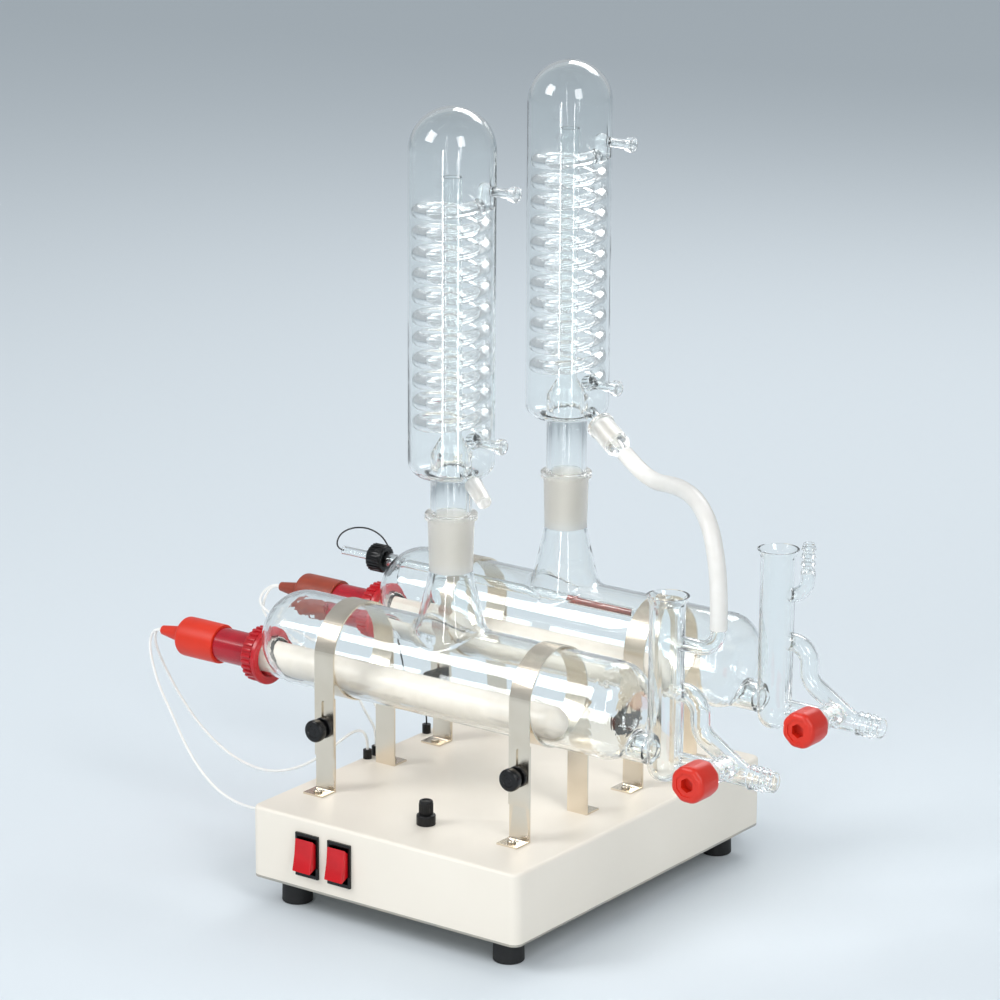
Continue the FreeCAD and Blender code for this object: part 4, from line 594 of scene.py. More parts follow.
@dataclass(frozen=True)
class BlownGlass:
    """Borosilicate glass, drawn and lamp-blown: clear, slightly wavy, ground where joints sit."""

    name: str
    bands: tuple[FrostedBand, ...] = ()
    colour: str = "#FCFEFE"
    ior: float = 1.474
    wave_mm: float = 16.0
    ground_colour: str = "#E7E6E2"
    ground_roughness: float = 0.42
    ground_clear: float = 0.9

    def build(self) -> bpy.types.Material:
        """Returns the material."""
        material, tree, shader = new_material(self.name)
        shader.inputs["Base Color"].default_value = linear(self.colour)
        shader.inputs["IOR"].default_value = self.ior
        shader.inputs["Transmission Weight"].default_value = 1.0
        shader.inputs["Roughness"].default_value = 0.0
        where = add(tree, "ShaderNodeTexCoord")
        wave = add(
            tree, "ShaderNodeTexNoise", {"Scale": per_metre(self.wave_mm), "Detail": 1.0},
            {"Vector": (where, "Object")},
        )
        bump = add(
            tree, "ShaderNodeBump", {"Strength": 0.1, "Distance": 0.0006},
            {"Height": (wave, "Fac")},
        )
        tree.links.new(bump.outputs["Normal"], shader.inputs["Normal"])
        mask = None
        for band in self.bands:
            edge = self.band_mask(tree, where, band)
            if mask is None:
                mask = edge
            else:
                mask = add(
                    tree, "ShaderNodeMath", {"operation": "MAXIMUM"}, {0: (mask, 0), 1: (edge, 0)}
                )
        if mask is not None:
            rough = add(
                tree, "ShaderNodeMapRange", {"To Min": 0.0, "To Max": self.ground_roughness},
                {"Value": (mask, 0)},
            )
            tree.links.new(rough.outputs["Result"], shader.inputs["Roughness"])
            clear = add(
                tree, "ShaderNodeMapRange", {"To Min": 1.0, "To Max": self.ground_clear},
                {"Value": (mask, 0)},
            )
            tree.links.new(clear.outputs["Result"], shader.inputs["Transmission Weight"])
            tint = add(
                tree, "ShaderNodeMix",
                {"data_type": "RGBA", 6: linear(self.colour), 7: linear(self.ground_colour)},
                {0: (mask, 0)},
            )
            tree.links.new(tint.outputs[2], shader.inputs["Base Color"])
        return material

    def band_mask(
        self, tree: bpy.types.NodeTree, where: bpy.types.Node, band: FrostedBand
    ) -> bpy.types.Node:
        """Makes a mask that is 1 inside a ground zone.

        Args:
            tree: The material's tree.
            where: The texture coordinate node.
            band: The zone.

        Returns:
            A Math node whose value is the mask.
        """
        offset = add(
            tree, "ShaderNodeVectorMath",
            {"operation": "SUBTRACT", 1: tuple(v * MM for v in band.origin)},
            {0: (where, "Object")},
        )
        reach = add(
            tree, "ShaderNodeVectorMath", {"operation": "DOT_PRODUCT", 1: band.along},
            {0: (offset, "Vector")},
        )
        after = add(
            tree, "ShaderNodeMapRange",
            {
                "From Min": (band.start - band.fade) * MM,
                "From Max": (band.start + band.fade) * MM,
            },
            {"Value": (reach, "Value")},
        )
        before = add(
            tree, "ShaderNodeMapRange",
            {
                "From Min": (band.stop - band.fade) * MM,
                "From Max": (band.stop + band.fade) * MM,
                "To Min": 1.0, "To Max": 0.0,
            },
            {"Value": (reach, "Value")},
        )
        return add(
            tree, "ShaderNodeMath", {"operation": "MULTIPLY"},
            {0: (after, "Result"), 1: (before, "Result")},
        )


@dataclass(frozen=True)
class Milky:
    """A cloudy white material that lets some light through: silicone hose or satin quartz."""

    name: str
    colour: str = "#F2F1ED"
    shade: str = "#E4E3DE"
    roughness: float = 0.3
    through: float = 0.25
    spread: float = 0.6

    def build(self) -> bpy.types.Material:
        """Returns the material."""
        material, tree, shader = new_material(self.name)
        where = add(tree, "ShaderNodeTexCoord")
        cloud = add(
            tree, "ShaderNodeTexNoise", {"Scale": per_metre(9.0), "Detail": 3.0},
            {"Vector": (where, "Object")},
        )
        tint = add(
            tree, "ShaderNodeMix",
            {"data_type": "RGBA", 6: linear(self.shade), 7: linear(self.colour)},
            {0: (cloud, "Fac")},
        )
        tree.links.new(tint.outputs[2], shader.inputs["Base Color"])
        rough = add(
            tree, "ShaderNodeMapRange",
            {"To Min": self.roughness - 0.05, "To Max": self.roughness + 0.1},
            {"Value": (cloud, "Fac")},
        )
        tree.links.new(rough.outputs["Result"], shader.inputs["Roughness"])
        shader.inputs["Transmission Weight"].default_value = self.through
        shader.inputs["IOR"].default_value = 1.41
        shader.inputs["Subsurface Weight"].default_value = self.spread
        shader.inputs["Subsurface Radius"].default_value = (0.006, 0.006, 0.006)
        return material


class Shop:
    """All finishes, each built once."""

    def __init__(self) -> None:
        """Builds the materials."""
        self.coat = PowderCoat().build()
        # Strap steel: its cream tint is painted reflection of the cream box on the steel's own tone.
        self.strip = RolledSteel().build()
        # Plated screws: brighter and cooler than the strip, with turning marks.
        self.screw = RolledSteel("plated_steel_screws", "#C9C9C6", 0.5, 4.0, 0.22).build()
        # Bare mill sheet, duller, out of sight under the box.
        self.plate = RolledSteel("grey_steel_sheet", "#9EA0A0", 0.6, 40.0, 0.34).build()
        # Moulded rubber: dull black with a coarse grain.
        self.foot = Moulded("black_nitrile_rubber", "#1B1B1C", "#121213", 0.62, 0.8, 0.2).build()
        # Thermoset knobs and frames: deep black, half gloss.
        self.black = Moulded(
            "black_gloss_phenolic", "#101011", "#0A0A0B", 0.2, 0.6, 0.03, 0.1, 0.0, 0.3
        ).build()
        # Nylon: softer gleams than on the knobs.
        self.satin_black = Moulded(
            "black_satin_nylon", "#151516", "#0E0E0F", 0.36, 0.5, 0.1, 0.0, 0.0, 0.3
        ).build()
        # Rockers: deep red, half gloss, and a little light goes in.
        self.rocker = Moulded(
            "red_polycarbonate", "#CE0F1B", "#B00C16", 0.2, 0.9, 0.02, 0.12, 0.1, 0.35
        ).build()
        # Hard screw caps: plain red, a little duller than the rockers.
        self.nut = Moulded(
            "red_polybutylene", "#C01A24", "#A5131C", 0.26, 0.6, 0.04, 0.15, 0.1, 0.4
        ).build()
        # The heaters' sleeves: a deeper and glossier red than the hoods.
        self.sleeve = Moulded(
            "crimson_polybutylene", "#B31427", "#9A0F20", 0.18, 0.8, 0.03, 0.25, 0.1, 0.4
        ).build()
        # Silicone hoods: soft orange red, and browned by heat at the back.
        self.hood = Moulded(
            "orange_red_silicone", "#E0351B", "#CE2C15", 0.4, 0.9, 0.06, 0.0, 0.2, 0.4
        ).build()
        self.old_hood = Moulded(
            "brown_red_silicone", "#A6432A", "#7F3220", 0.42, 0.9, 0.06, 0.0, 0.15
        ).build()
        # Stopcock knobs: satin orange red.
        self.cock = Moulded(
            "red_satin_polypropylene", "#D92A12", "#C4210E", 0.36, 0.7, 0.08, 0.0, 0.1
        ).build()
        # Turned white plug: waxy, light goes in a little.
        self.ptfe = Moulded(
            "white_fluoropolymer", "#EFEFEC", "#E6E6E2", 0.34, 0.8, 0.04, 0.0, 0.3
        ).build()
        # Wires: smooth extruded silicone.
        self.lead = Moulded("white_silicone_lead", "#F4F4F1", "#EBEAE6", 0.35, 0.8, 0.03).build()
        self.wire = Moulded("black_silicone_wire", "#1A1A1B", "#101011", 0.4, 0.6, 0.03).build()
        # Fired ceramics: matt, with a visible grain.
        self.brown = Moulded("brown_probe_ceramic", "#7A3222", "#5F2418", 0.5, 0.8, 0.2).build()
        self.core = Moulded("heater_core_ceramic", "#E4DFD2", "#D5CFC0", 0.7, 1.2, 0.2).build()
        self.seal = Moulded("white_silicone_seal", "#E6E2D8", "#D9D4C8", 0.5, 0.8, 0.05).build()
        self.block = Moulded("white_terminal_nylon", "#E7E5DD", "#DAD7CD", 0.45, 0.8, 0.1).build()
        self.hose = Milky("milky_silicone_hose", "#F4F2EE", "#E9E6E0", 0.3, 0.15, 0.5).build()
        self.quartz = Milky("satin_quartz_sheath", "#DDD7CD", "#C9C1B5", 0.3, 0.12, 0.15).build()
        self.plain_glass = BlownGlass("clear_borosilicate").build()
        self.coil_glass = BlownGlass("clear_coil_borosilicate", (), "#FFFFFF").build()


# The still's sub-assemblies


@dataclass
class ControlBox:
    """The painted box with its feet, switches, fuse holder, glands and sockets."""

    shop: Shop
    left: float = -127.0
    right: float = 145.0
    front: float = -180.0
    back: float = 180.0
    top: float = 86.0
    foot_inset: float = 27.0
    foot_radius: float = 13.0
    foot_height: float = 24.0
    switch_x: tuple[float, float] = (-67.0, -33.5)
    switch_z: float = 55.0
    rocker_width: float = 18.5
    rocker_height: float = 28.0
    rocker_depth: float = 11.0
    rocker_back: float = 2.0
    rocker_dish: float = 0.8
    rocker_rim: float = 1.8
    rocker_sink: float = 0.5
    rocker_tilt: float = -9.0
    pin_diameter: float = 3.0
    pin_reach: float = 1.0
    fuse_place: tuple[float, float] = (16.3, -129.0)

    def build(self) -> None:
        """Builds every piece of the box."""
        shop = self.shop
        for node, name, material, slot in (
            ("base_cover", "cover_shell", shop.coat, "cream_paint"),
            ("base_plate", "bottom_plate", shop.plate, "steel_plate"),
            ("cable_glands", "cable_glands_dressed", shop.satin_black, "black_plastic"),
            ("mains_inlet", "mains_inlet_dressed", shop.satin_black, "black_plastic"),
            ("terminal_block", "terminal_block_dressed", shop.block, "block_plastic"),
            ("fuse_nut", "fuse_nut_dressed", shop.satin_black, "black_plastic"),
            ("foot_screws", "foot_screws_dressed", shop.screw, "screw_steel"),
            ("fuse_link", "fuse_glass_dressed", shop.plain_glass, "fuse_glass"),
            ("strap_saddles", "strap_saddles_dressed", shop.strip, "strap_steel"),
            ("clamp_nuts", "clamp_nuts_dressed", shop.screw, "screw_steel"),
            ("strap_screws", "strap_screws_dressed", shop.screw, "screw_steel"),
            ("heater_cores", "heater_cores_dressed", shop.core, "core_ceramic"),
            ("heater_seals", "heater_seals_dressed", shop.seal, "seal_silicone"),
        ):
            finish_piece(from_node(node, name), material, "base", slot, node)
        self.feet()
        self.fuse_holder()
        for hand, x in zip(Hand, self.switch_x):
            frame_piece = from_node(hand.value + "_switch_frame", hand.value + "_switch_surround")
            soften(frame_piece, 0.35, 2)
            smooth(frame_piece)
            finish_piece(
                frame_piece, shop.black, "base", "black_plastic", hand.value + "_switch_frame"
            )
            self.rocker(hand, x)

    def feet(self) -> None:
        """Turns one foot and sets it at the four corners."""
        r = self.foot_radius
        h = self.foot_height
        profile = [(1.2, 6.5), (0.0, 7.2), (0.0, r - 1.4), *arc_rings((1.4, r - 1.4), 1.4, -90, 0, 4)]
        profile += [(h - 8, r - 0.4), (h - 4, r - 0.4), (h, r), (h, 3.0), (h - 8, 3.0), (h - 8, 6.5)]
        first = turned("rubber_foot", profile, 48, hollow=True)
        feet = []
        for x in (self.left + self.foot_inset, self.right - self.foot_inset):
            for y in (self.front + self.foot_inset, self.back - self.foot_inset):
                foot = first.copy()
                foot.data = first.data.copy()
                bpy.context.scene.collection.objects.link(foot)
                settle(foot, Vector((x, y, 0)) * MM, Vector((0, 0, 1)))
                feet.append(foot)
        bpy.data.objects.remove(first)
        clear_selection()
        for foot in feet:
            foot.select_set(True)
        bpy.context.view_layer.objects.active = feet[0]
        bpy.ops.object.join()
        joined = bpy.context.object
        joined.name = "rubber_feet_dressed"
        smooth(joined, 40)
        finish_piece(joined, self.shop.foot, "base", "black_rubber", "rubber_feet")

    def fuse_holder(self) -> None:
        """Turns the fuse holder's collar and its ribbed cap."""
        x, y = self.fuse_place
        place = Vector((x, y, self.top)) * MM
        collar = turned(
            "fuse_collar",
            [
                (-34, 4.3), (-34, 6), (0, 6), (0, 7.6), (0.4, 8.0), (6.6, 8.0),
                *arc_rings((7.6, 6.9), 1.1, 0, 90, 4), (9, 6.4), (9, 4.3), (0, 4.3),
            ],
            56,
            hollow=True,
        )
        settle(collar, place, Vector((0, 0, 1)))
        smooth(collar, 35)
        finish_piece(collar, self.shop.satin_black, "base", "black_plastic", "fuse_body")
        cap = turned(
            "fuse_cap_dressed",
            [
                (0.1, 4.1), (9.05, 4.1), (9.05, 5.4), (9.6, 5.7), (18.6, 5.7),
                *arc_rings((19.6, 4.5), 1.2, 10, 90, 4), (20.8, 3.4), (20.2, 3.2), (20.2, 0.4),
            ],
            48,
        )
        raise_ribs(cap, 9.7, 18.5, 48, 5, 0.3)
        soften(cap, 0.12, 1)
        settle(cap, place, Vector((0, 0, 1)))
        smooth(cap, 30)
        finish_piece(cap, self.shop.satin_black, "fuse_cap", "black_plastic", "fuse_cap")

    def rocker(self, hand: Hand, x: float) -> None:
        """Shapes one rocker from a block: dished face, round edges, pins, tilted.

        Args:
            hand: Which switch.
            x: Its centre along the front.
        """
        clear_selection()
        centre = Vector((x, self.front, self.switch_z)) * MM
        bpy.ops.mesh.primitive_cube_add(
            size=MM, location=(0, 0, 0),
            scale=(self.rocker_width, self.rocker_depth, self.rocker_height),
        )
        piece = bpy.context.object
        piece.name = hand.value + "_rocker_dressed"
        bpy.ops.object.transform_apply(location=False, rotation=False, scale=True)
        bpy.ops.object.mode_set(mode="EDIT")
        bpy.ops.mesh.select_all(action="SELECT")
        bpy.ops.transform.translate(value=(0, -self.rocker_back * MM, 0))
        bpy.ops.mesh.bisect(plane_co=(0, 0, 0), plane_no=(0, 0, 1))
        pick_faces(piece, lambda c, n: n.y < -0.5)
        bpy.ops.mesh.inset(thickness=self.rocker_rim * MM)
        bpy.ops.transform.translate(value=(0, self.rocker_sink * MM, 0))
        bpy.ops.object.mode_set(mode="OBJECT")
        for vertex in piece.data.vertices:
            if abs(vertex.co.z) < 0.1 * MM and vertex.co.y < 0:
                vertex.co.y += self.rocker_dish * MM
            if vertex.co.y > 3 * MM:
                vertex.co.z *= 0.5
        soften(piece, 0.45, 3, 12)
        bpy.ops.mesh.primitive_cylinder_add(
            vertices=24, radius=self.pin_diameter / 2 * MM,
            depth=(self.rocker_width + 2 * self.pin_reach) * MM,
            rotation=(0, math.pi / 2, 0),
        )
        pins = bpy.context.object
        soften(pins, 0.3, 1)
        piece.select_set(True)
        bpy.context.view_layer.objects.active = piece
        bpy.ops.object.join()
        choose(piece)
        piece.rotation_mode = "XYZ"
        piece.rotation_euler = (math.radians(self.rocker_tilt), 0, 0)
        piece.location = centre
        bpy.ops.object.transform_apply(location=True, rotation=True, scale=True)
        smooth(piece, 30)
        name = hand.value + "_rocker"
        finish_piece(piece, self.shop.rocker, name, "switch_red", name)


@dataclass
class Boiler:
    """One boiler with its heater, cap and hood, and the straps that hold it."""

    shop: Shop
    side: Side
    y: float
    axis_z: float = 200.0
    heater_z: float = 176.0
    neck_top: float = 336.5
    taper: float = 45.0
    cap_left: float = -207.0
    cap_length: float = 17.0
    tip_x: float = -312.5
    hood_left: float = -286.5
    sleeve_left: float = -244.5
    sleeve_right: float = -203.5
    strap_x: float = 100.0
    knob_z: float = 142.0
    strap_face: float = 42.3

    def build(self) -> None:
        """Builds the boiler and all that belongs to it."""
        name = self.side.value
        neck_band = FrostedBand(
            (0.0, self.y, self.neck_top - self.taper), (0.0, 0.0, 1.0), -4.0, self.taper - 3.0
        )
        glass = BlownGlass(name + "_boiler_borosilicate", (neck_band,)).build()
        body = from_node(name + "_boiler", name + "_boiler_glass")
        finish_piece(body, glass, "base", "borosilicate", name + "_boiler")
        body.visible_shadow = False
        sheath = from_node(name + "_heater_sheath", name + "_sheath_quartz")
        finish_piece(sheath, self.shop.quartz, "base", "quartz_sheath", name + "_heater_sheath")
        self.cap()
        self.hood()
        for hand in Hand:
            self.strap(hand)

    def cap(self) -> None:
        """Turns the ribbed screw cap with the rim at its mouth."""
        length = self.cap_length
        profile = [
            (0.0, 15.2), (0.0, 20.6), *arc_rings((1.6, 20.8), 1.6, -90, 0, 3),
            (11.4, 22.4), (12.0, 23.6), *arc_rings((13.2, 23.8), 1.1, 0, 20, 1),
            (15.9, 24.9), *arc_rings((16.0, 23.9), 1.0, 20, 90, 3),
            (length, 18.6), (16.0, 17.4), (4.0, 17.4), (4.0, 15.2),
        ]
        sides = 56
        cap = turned(self.side.value + "_screw_cap", profile, sides, hollow=True)
        raise_ribs(cap, 2.0, 11.3, sides, 21.5, 1.5)
        soften(cap, 0.35, 2, 40)
        settle(cap, Vector((self.cap_left, self.y, self.heater_z)) * MM, Vector((1, 0, 0)))
        smooth(cap, 35)
        node = self.side.value + "_heater_cap"
        finish_piece(cap, self.shop.nut, node, "red_plastic", node)

    def hood(self) -> None:
        """Turns the crimson sleeve and the silicone hood with its cone tip."""
        name = self.side.value
        reach = self.sleeve_right - self.sleeve_left
        sleeve = turned(
            name + "_heater_sleeve",
            [(0, 12.0), (0, 14.4), (0.4, 14.8), (reach - 0.5, 14.8), (reach, 14.3), (reach, 12.0)],
            72,
            hollow=True,
        )
        settle(sleeve, Vector((self.sleeve_left, self.y, self.heater_z)) * MM, Vector((1, 0, 0)))
        smooth(sleeve)
        finish_piece(sleeve, self.shop.sleeve, "base", "red_silicone")
        cone = self.hood_left - self.tip_x
        body = self.sleeve_left - self.tip_x
        profile = [
            (0.0, 2.4), (0.0, 3.3), *arc_rings((0.8, 3.3), 0.8, -60, 0, 3),
            (cone * 0.5, 5.9), (cone - 3.0, 7.4), (cone - 0.8, 8.2), (cone, 9.6),
            *arc_rings((cone + 4.0, 13.2), 4.0, -80, 0, 7),
            (cone + 16, 17.3), (body - 1.2, 17.2), *arc_rings((body - 1.0, 16.2), 1.0, 10, 90, 4),
            (body, 14.9), (body - 0.3, 12.0),
        ]
        hood = turned(name + "_heater_hood_dressed", profile, 72)
        settle(hood, Vector((self.tip_x, self.y, self.heater_z)) * MM, Vector((1, 0, 0)))
        smooth(hood, 40)
        material = self.shop.hood if self.side is Side.FRONT else self.shop.old_hood
        slot = "red_silicone" if self.side is Side.FRONT else "brown_rubber"
        finish_piece(hood, material, "base", slot, name + "_heater_hood")

    def strap(self, hand: Hand) -> None:
        """Dresses one strap and turns its clamp knob.

        Args:
            hand: Which of the two straps.
        """
        key = f"{self.side.value}_{hand.value}"
        for part in ("strap_band", "strap_bracket"):
            strip = from_node(f"{key}_{part}", f"{key}_{part}_steel", 35)
            finish_piece(strip, self.shop.strip, "base", "strap_steel", f"{key}_{part}")
        x = self.strap_x if hand is Hand.RIGHT else -self.strap_x
        knob = turned(
            key + "_knob_dressed",
            [
                (-9.0, 2.45), (0.0, 2.45), (0.0, 8.4), *arc_rings((0.6, 8.4), 0.6, -90, 0, 2),
                *arc_rings((2.2, 8.2), 0.8, 0, 90, 3), (3.0, 5.6), (8.0, 5.4), (8.0, 7.8),
                *arc_rings((9.6, 7.9), 1.6, -90, 0, 4), *arc_rings((13.0, 7.5), 2.0, 0, 85, 6),
                (15.0, 5.6), (14.3, 5.0), (14.2, 2.6), (14.6, 2.2), (14.7, 0.3),
            ],
            56,
        )
        face = self.y - self.strap_face - 0.05
        settle(knob, Vector((x, face, self.knob_z)) * MM, Vector((0, -1, 0)))
        smooth(knob, 35)
        finish_piece(knob, self.shop.black, key + "_knob", "black_plastic", key + "_clamp_knob")


@dataclass
class Condenser:
    """An upright condenser: jacket with its joints and the coil inside."""

    shop: Shop
    side: Side
    y: float
    bottom: float
    body: str
    outlet_turn: float
    outlet_fall: float
    neck_top: float = 336.5
    taper: float = 45.0
    tube_wall: float = 1.0
    pitch: float = 17.4
    turns: int = 11
    coil_start: float = 34.0
    outlet_rise: float = 10.0
    outlet_root: float = 33.3
    cone_start: float = 16.2
    cone_length: float = 26.0
    end_gap: float = 0.3

    def outlet(self) -> tuple[Vector, Vector]:
        """The outlet's start on the jacket and its direction."""
        turn = math.radians(self.outlet_turn)
        fall = math.radians(self.outlet_fall)
        level = Vector((math.cos(turn), math.sin(turn), 0))
        along = level * math.cos(fall) - Vector((0, 0, math.sin(fall)))
        start = Vector((0, self.y, self.bottom + self.outlet_rise)) + level * self.outlet_root
        return start, along

    def build(self) -> None:
        """Builds the jacket and the coil."""
        name = self.side.value
        start, along = self.outlet()
        bands = (
            FrostedBand((0.0, self.y, self.neck_top - self.taper), (0.0, 0.0, 1.0), -2.0, self.taper),
            FrostedBand(
                tuple(start), tuple(along), self.cone_start, self.cone_start + self.cone_length + 2
            ),
        )
        glass = BlownGlass(name + "_condenser_borosilicate", bands).build()
        jacket = from_node(name + "_condenser_jacket", name + "_jacket_glass")
        finish_piece(jacket, glass, self.body, "borosilicate", name + "_condenser_jacket")
        jacket.visible_shadow = False
        self.coil()
        if self.side is Side.REAR:
            self.adapter(start, along)

    def adapter(self, start: Vector, along: Vector) -> None:
        """Dresses the hose adapter: ground inside its socket, clear past it.

        Args:
            start: The outlet's start in millimetres.
            along: The outlet's direction.
        """
        ground = FrostedBand(
            tuple(start), tuple(along), self.cone_start + 3, self.cone_start + self.cone_length
        )
        glass = BlownGlass("adapter_borosilicate", (ground,)).build()
        piece = from_node("hose_adapter", "hose_adapter_glass")
        finish_piece(piece, glass, "base", "borosilicate", "hose_adapter")
        piece.visible_shadow = False

    def coil(self) -> None:
        """Winds the hollow coil with two screw modifiers, joined at its ends."""
        name = self.side.value
        room = extent(name + "_condenser_coil")
        tube = (room.size.z - self.pitch * self.turns) / 2
        coil_radius = room.size.x / 2 - tube
        walls = []
        for label, radius in (("outer", tube), ("inner", tube - self.tube_wall)):
            clear_selection()
            bpy.ops.mesh.primitive_circle_add(
                vertices=20, radius=radius * MM, rotation=(math.pi / 2, 0, 0),
                location=(coil_radius * MM, 0, 0),
            )
            ring = bpy.context.object
            ring.name = f"{name}_coil_{label}"
            bpy.ops.object.transform_apply(location=True, rotation=True, scale=True)
            screw = ring.modifiers.new("wind", "SCREW")
            screw.axis = "Z"
            screw.angle = 2 * math.pi
            screw.screw_offset = self.pitch * MM
            screw.iterations = self.turns
            screw.steps = 48
            screw.render_steps = 48
            screw.use_merge_vertices = False
            bpy.ops.object.modifier_apply(modifier=screw.name)
            walls.append(ring)
        clear_selection()
        for wall in walls:
            wall.select_set(True)
        bpy.context.view_layer.objects.active = walls[0]
        bpy.ops.object.join()
        coil = bpy.context.object
        coil.name = name + "_coil_glass"
        self.close_ends(coil)
        settle(coil, Vector((0, self.y, self.bottom + self.coil_start)) * MM, Vector((0, 0, 1)))
        smooth(coil, 60)
        finish_piece(coil, self.shop.coil_glass, self.body, "coil_glass", name + "_condenser_coil")
        coil.visible_shadow = False

    def close_ends(self, coil: bpy.types.Object) -> None:
        """Draws both ends of the coil back a little and bridges its outer wall to the inner."""
        choose(coil)
        bpy.ops.object.mode_set(mode="EDIT")
        bpy.ops.mesh.select_mode(type="EDGE")
        for low in (True, False):
            bpy.ops.mesh.select_all(action="DESELECT")
            bpy.ops.mesh.select_non_manifold(
                use_wire=False, use_boundary=True, use_multi_face=False,
                use_non_contiguous=False, use_verts=False,
            )
            bpy.ops.object.mode_set(mode="OBJECT")
            middle = self.pitch * self.turns / 2 * MM
            for edge in coil.data.edges:
                if edge.select:
                    z = coil.data.vertices[edge.vertices[0]].co.z
                    edge.select = (z < middle) == low
            bpy.ops.object.mode_set(mode="EDIT")
            back = self.end_gap if low else -self.end_gap
            bpy.ops.transform.translate(value=(0, back * MM, 0))
            bpy.ops.mesh.bridge_edge_loops()
        bpy.ops.mesh.select_all(action="SELECT")
        bpy.ops.mesh.normals_make_consistent(inside=False)
        bpy.ops.object.mode_set(mode="OBJECT")


@dataclass
class LevelDevice:
    """The glass level device with its stopcock."""

    shop: Shop
    side: Side
    corner_share: float = 1.06
    corner_round: float = 4.2
    face_rim: float = 1.6
    face_step: float = 0.7
    socket_radius: float = 6.2
    socket_depth: float = 7.0

    def build(self) -> None:
        """Builds the glass, the key and the knob."""
        name = self.side.value
        glass = from_node(name + "_level_device", name + "_level_glass")
        finish_piece(glass, self.shop.plain_glass, "base", "borosilicate", name + "_level_device")
        glass.visible_shadow = False
        body = name + "_stopcock"
        key = from_node(name + "_stopcock_key", name + "_key_dressed")
        finish_piece(key, self.shop.ptfe, body, "white_ptfe", name + "_stopcock_key")
        self.knob(body)

    def knob(self, body: str) -> None:
        """Shapes the eight-sided knob: round edges, stepped face and hexagonal socket.

        Args:
            body: The body it rides on.
        """
        clear_selection()
        room = extent(self.side.value + "_stopcock_knob")
        length = room.size.y
        bpy.ops.mesh.primitive_cylinder_add(
            vertices=8, radius=room.size.x / 2 * self.corner_share * MM, depth=length * MM,
            location=(0, 0, length / 2 * MM), rotation=(0, 0, math.pi / 8),
        )
        piece = bpy.context.object
        piece.name = self.side.value + "_cock_knob_dressed"
        bpy.ops.object.transform_apply(location=True, rotation=True, scale=True)
        soften(piece, self.corner_round, 5, 30)
        choose(piece)
        bpy.ops.object.mode_set(mode="EDIT")
        top = length * MM - 1e-5
        pick_faces(piece, lambda c, n: n.z > 0.99 and c.z > top)
        bpy.ops.mesh.inset(thickness=self.face_rim * MM)
        bpy.ops.mesh.extrude_region_move(
            TRANSFORM_OT_translate={"value": (0, 0, -self.face_step * MM)}
        )
        bpy.ops.object.mode_set(mode="OBJECT")
        socket = self.socket_cutter(length)
        choose(piece)
        cut = piece.modifiers.new("socket", "BOOLEAN")
        cut.operation = "DIFFERENCE"
        cut.object = socket
        bpy.ops.object.modifier_apply(modifier=cut.name)
        bpy.data.objects.remove(socket)
        back = Vector((room.middle.x, room.high.y, room.middle.z))
        settle(piece, back * MM, Vector((0, -1, 0)))
        smooth(piece, 35)
        finish_piece(piece, self.shop.cock, body, "red_plastic", self.side.value + "_stopcock_knob")

    def socket_cutter(self, length: float) -> bpy.types.Object:
        """Makes the hexagonal bar that cuts the socket.

        Args:
            length: The knob's length in millimetres.

        Returns:
            The bar.
        """
        bpy.ops.mesh.primitive_cylinder_add(
            vertices=6, radius=self.socket_radius * MM, depth=2 * self.socket_depth * MM,
            location=(0, 0, length * MM),
        )
        bar = bpy.context.object
        bpy.ops.object.transform_apply(location=True, rotation=True, scale=True)
        return bar


@dataclass
class Probe:
    """The level probe of the rear boiler."""

    shop: Shop
    y: float = 89.0
    z: float = 223.0
    cap_left: float = -207.5
    cap_length: float = 15.0

    def build(self) -> None:
        """Builds the probe's tube, tip and cap."""
        tube = from_node("probe_tube", "probe_tube_glass")
        finish_piece(tube, self.shop.plain_glass, "base", "borosilicate", "probe_tube")
        tube.visible_shadow = False
        tip = from_node("probe_tip", "probe_tip_dressed")
        finish_piece(tip, self.shop.brown, "base", "probe_brown", "probe_tip")
        sides = 44
        cap = turned(
            "probe_cap_dressed",
            [
                (0.0, 4.4), (0.0, 9.8), *arc_rings((1.2, 10.2), 1.2, -90, 0, 3),
                (self.cap_length - 1.2, 11.4), *arc_rings((self.cap_length - 0.8, 10.6), 0.8, 0, 90, 3),
                (self.cap_length, 7.4), (self.cap_length - 1, 6.6), (2.5, 6.6), (2.5, 4.4),
            ],
            sides,
            hollow=True,
        )
        raise_ribs(cap, 1.5, self.cap_length - 1.0, sides, 10.8, 1.1)
        soften(cap, 0.25, 2, 40)
        settle(cap, Vector((self.cap_left, self.y, self.z)) * MM, Vector((1, 0, 0)))
        smooth(cap, 35)
        finish_piece(cap, self.shop.black, "probe_cap", "black_plastic", "probe_cap")


@dataclass(frozen=True)
class Route:
    """A cord's route in millimetres and facts about the cord."""

    node: str
    name: str
    points: tuple[Point, ...]
    length: float
    diameter: float
    stiffness: str
    slot: str


FRONT_LOW = Route(
    "front_lead_low", "front_lead_to_side",
    (
        (-312.5, -75.7, 176), (-319.5, -75.7, 176), (-324, -76.2, 170), (-325.5, -77, 160),
        (-320, -80, 145), (-308, -84, 125), (-291, -88, 106), (-273, -94, 86), (-252, -100, 69),
        (-228, -106, 57), (-202, -111, 51.5), (-176, -114, 52), (-152, -114, 55), (-135, -114, 55),
    ),
    266.2, 2.4, "limp", "lead_silicone",
)
FRONT_HIGH = Route(
    "front_lead_high", "front_lead_to_top",
    (
        (-312.5, -72.3, 176), (-319.5, -72.3, 176), (-323.5, -71.8, 170), (-324, -71, 160),
        (-317, -69, 143), (-304, -67, 121), (-287, -64, 98), (-266, -60, 78), (-240, -56, 64),
        (-211, -52, 60), (-183, -48, 69), (-160, -43, 84), (-143, -38, 101), (-129, -33, 112),
        (-121.5, -30, 107), (-121.5, -30, 94),
    ),
    305.1, 2.4, "limp", "lead_silicone",
)
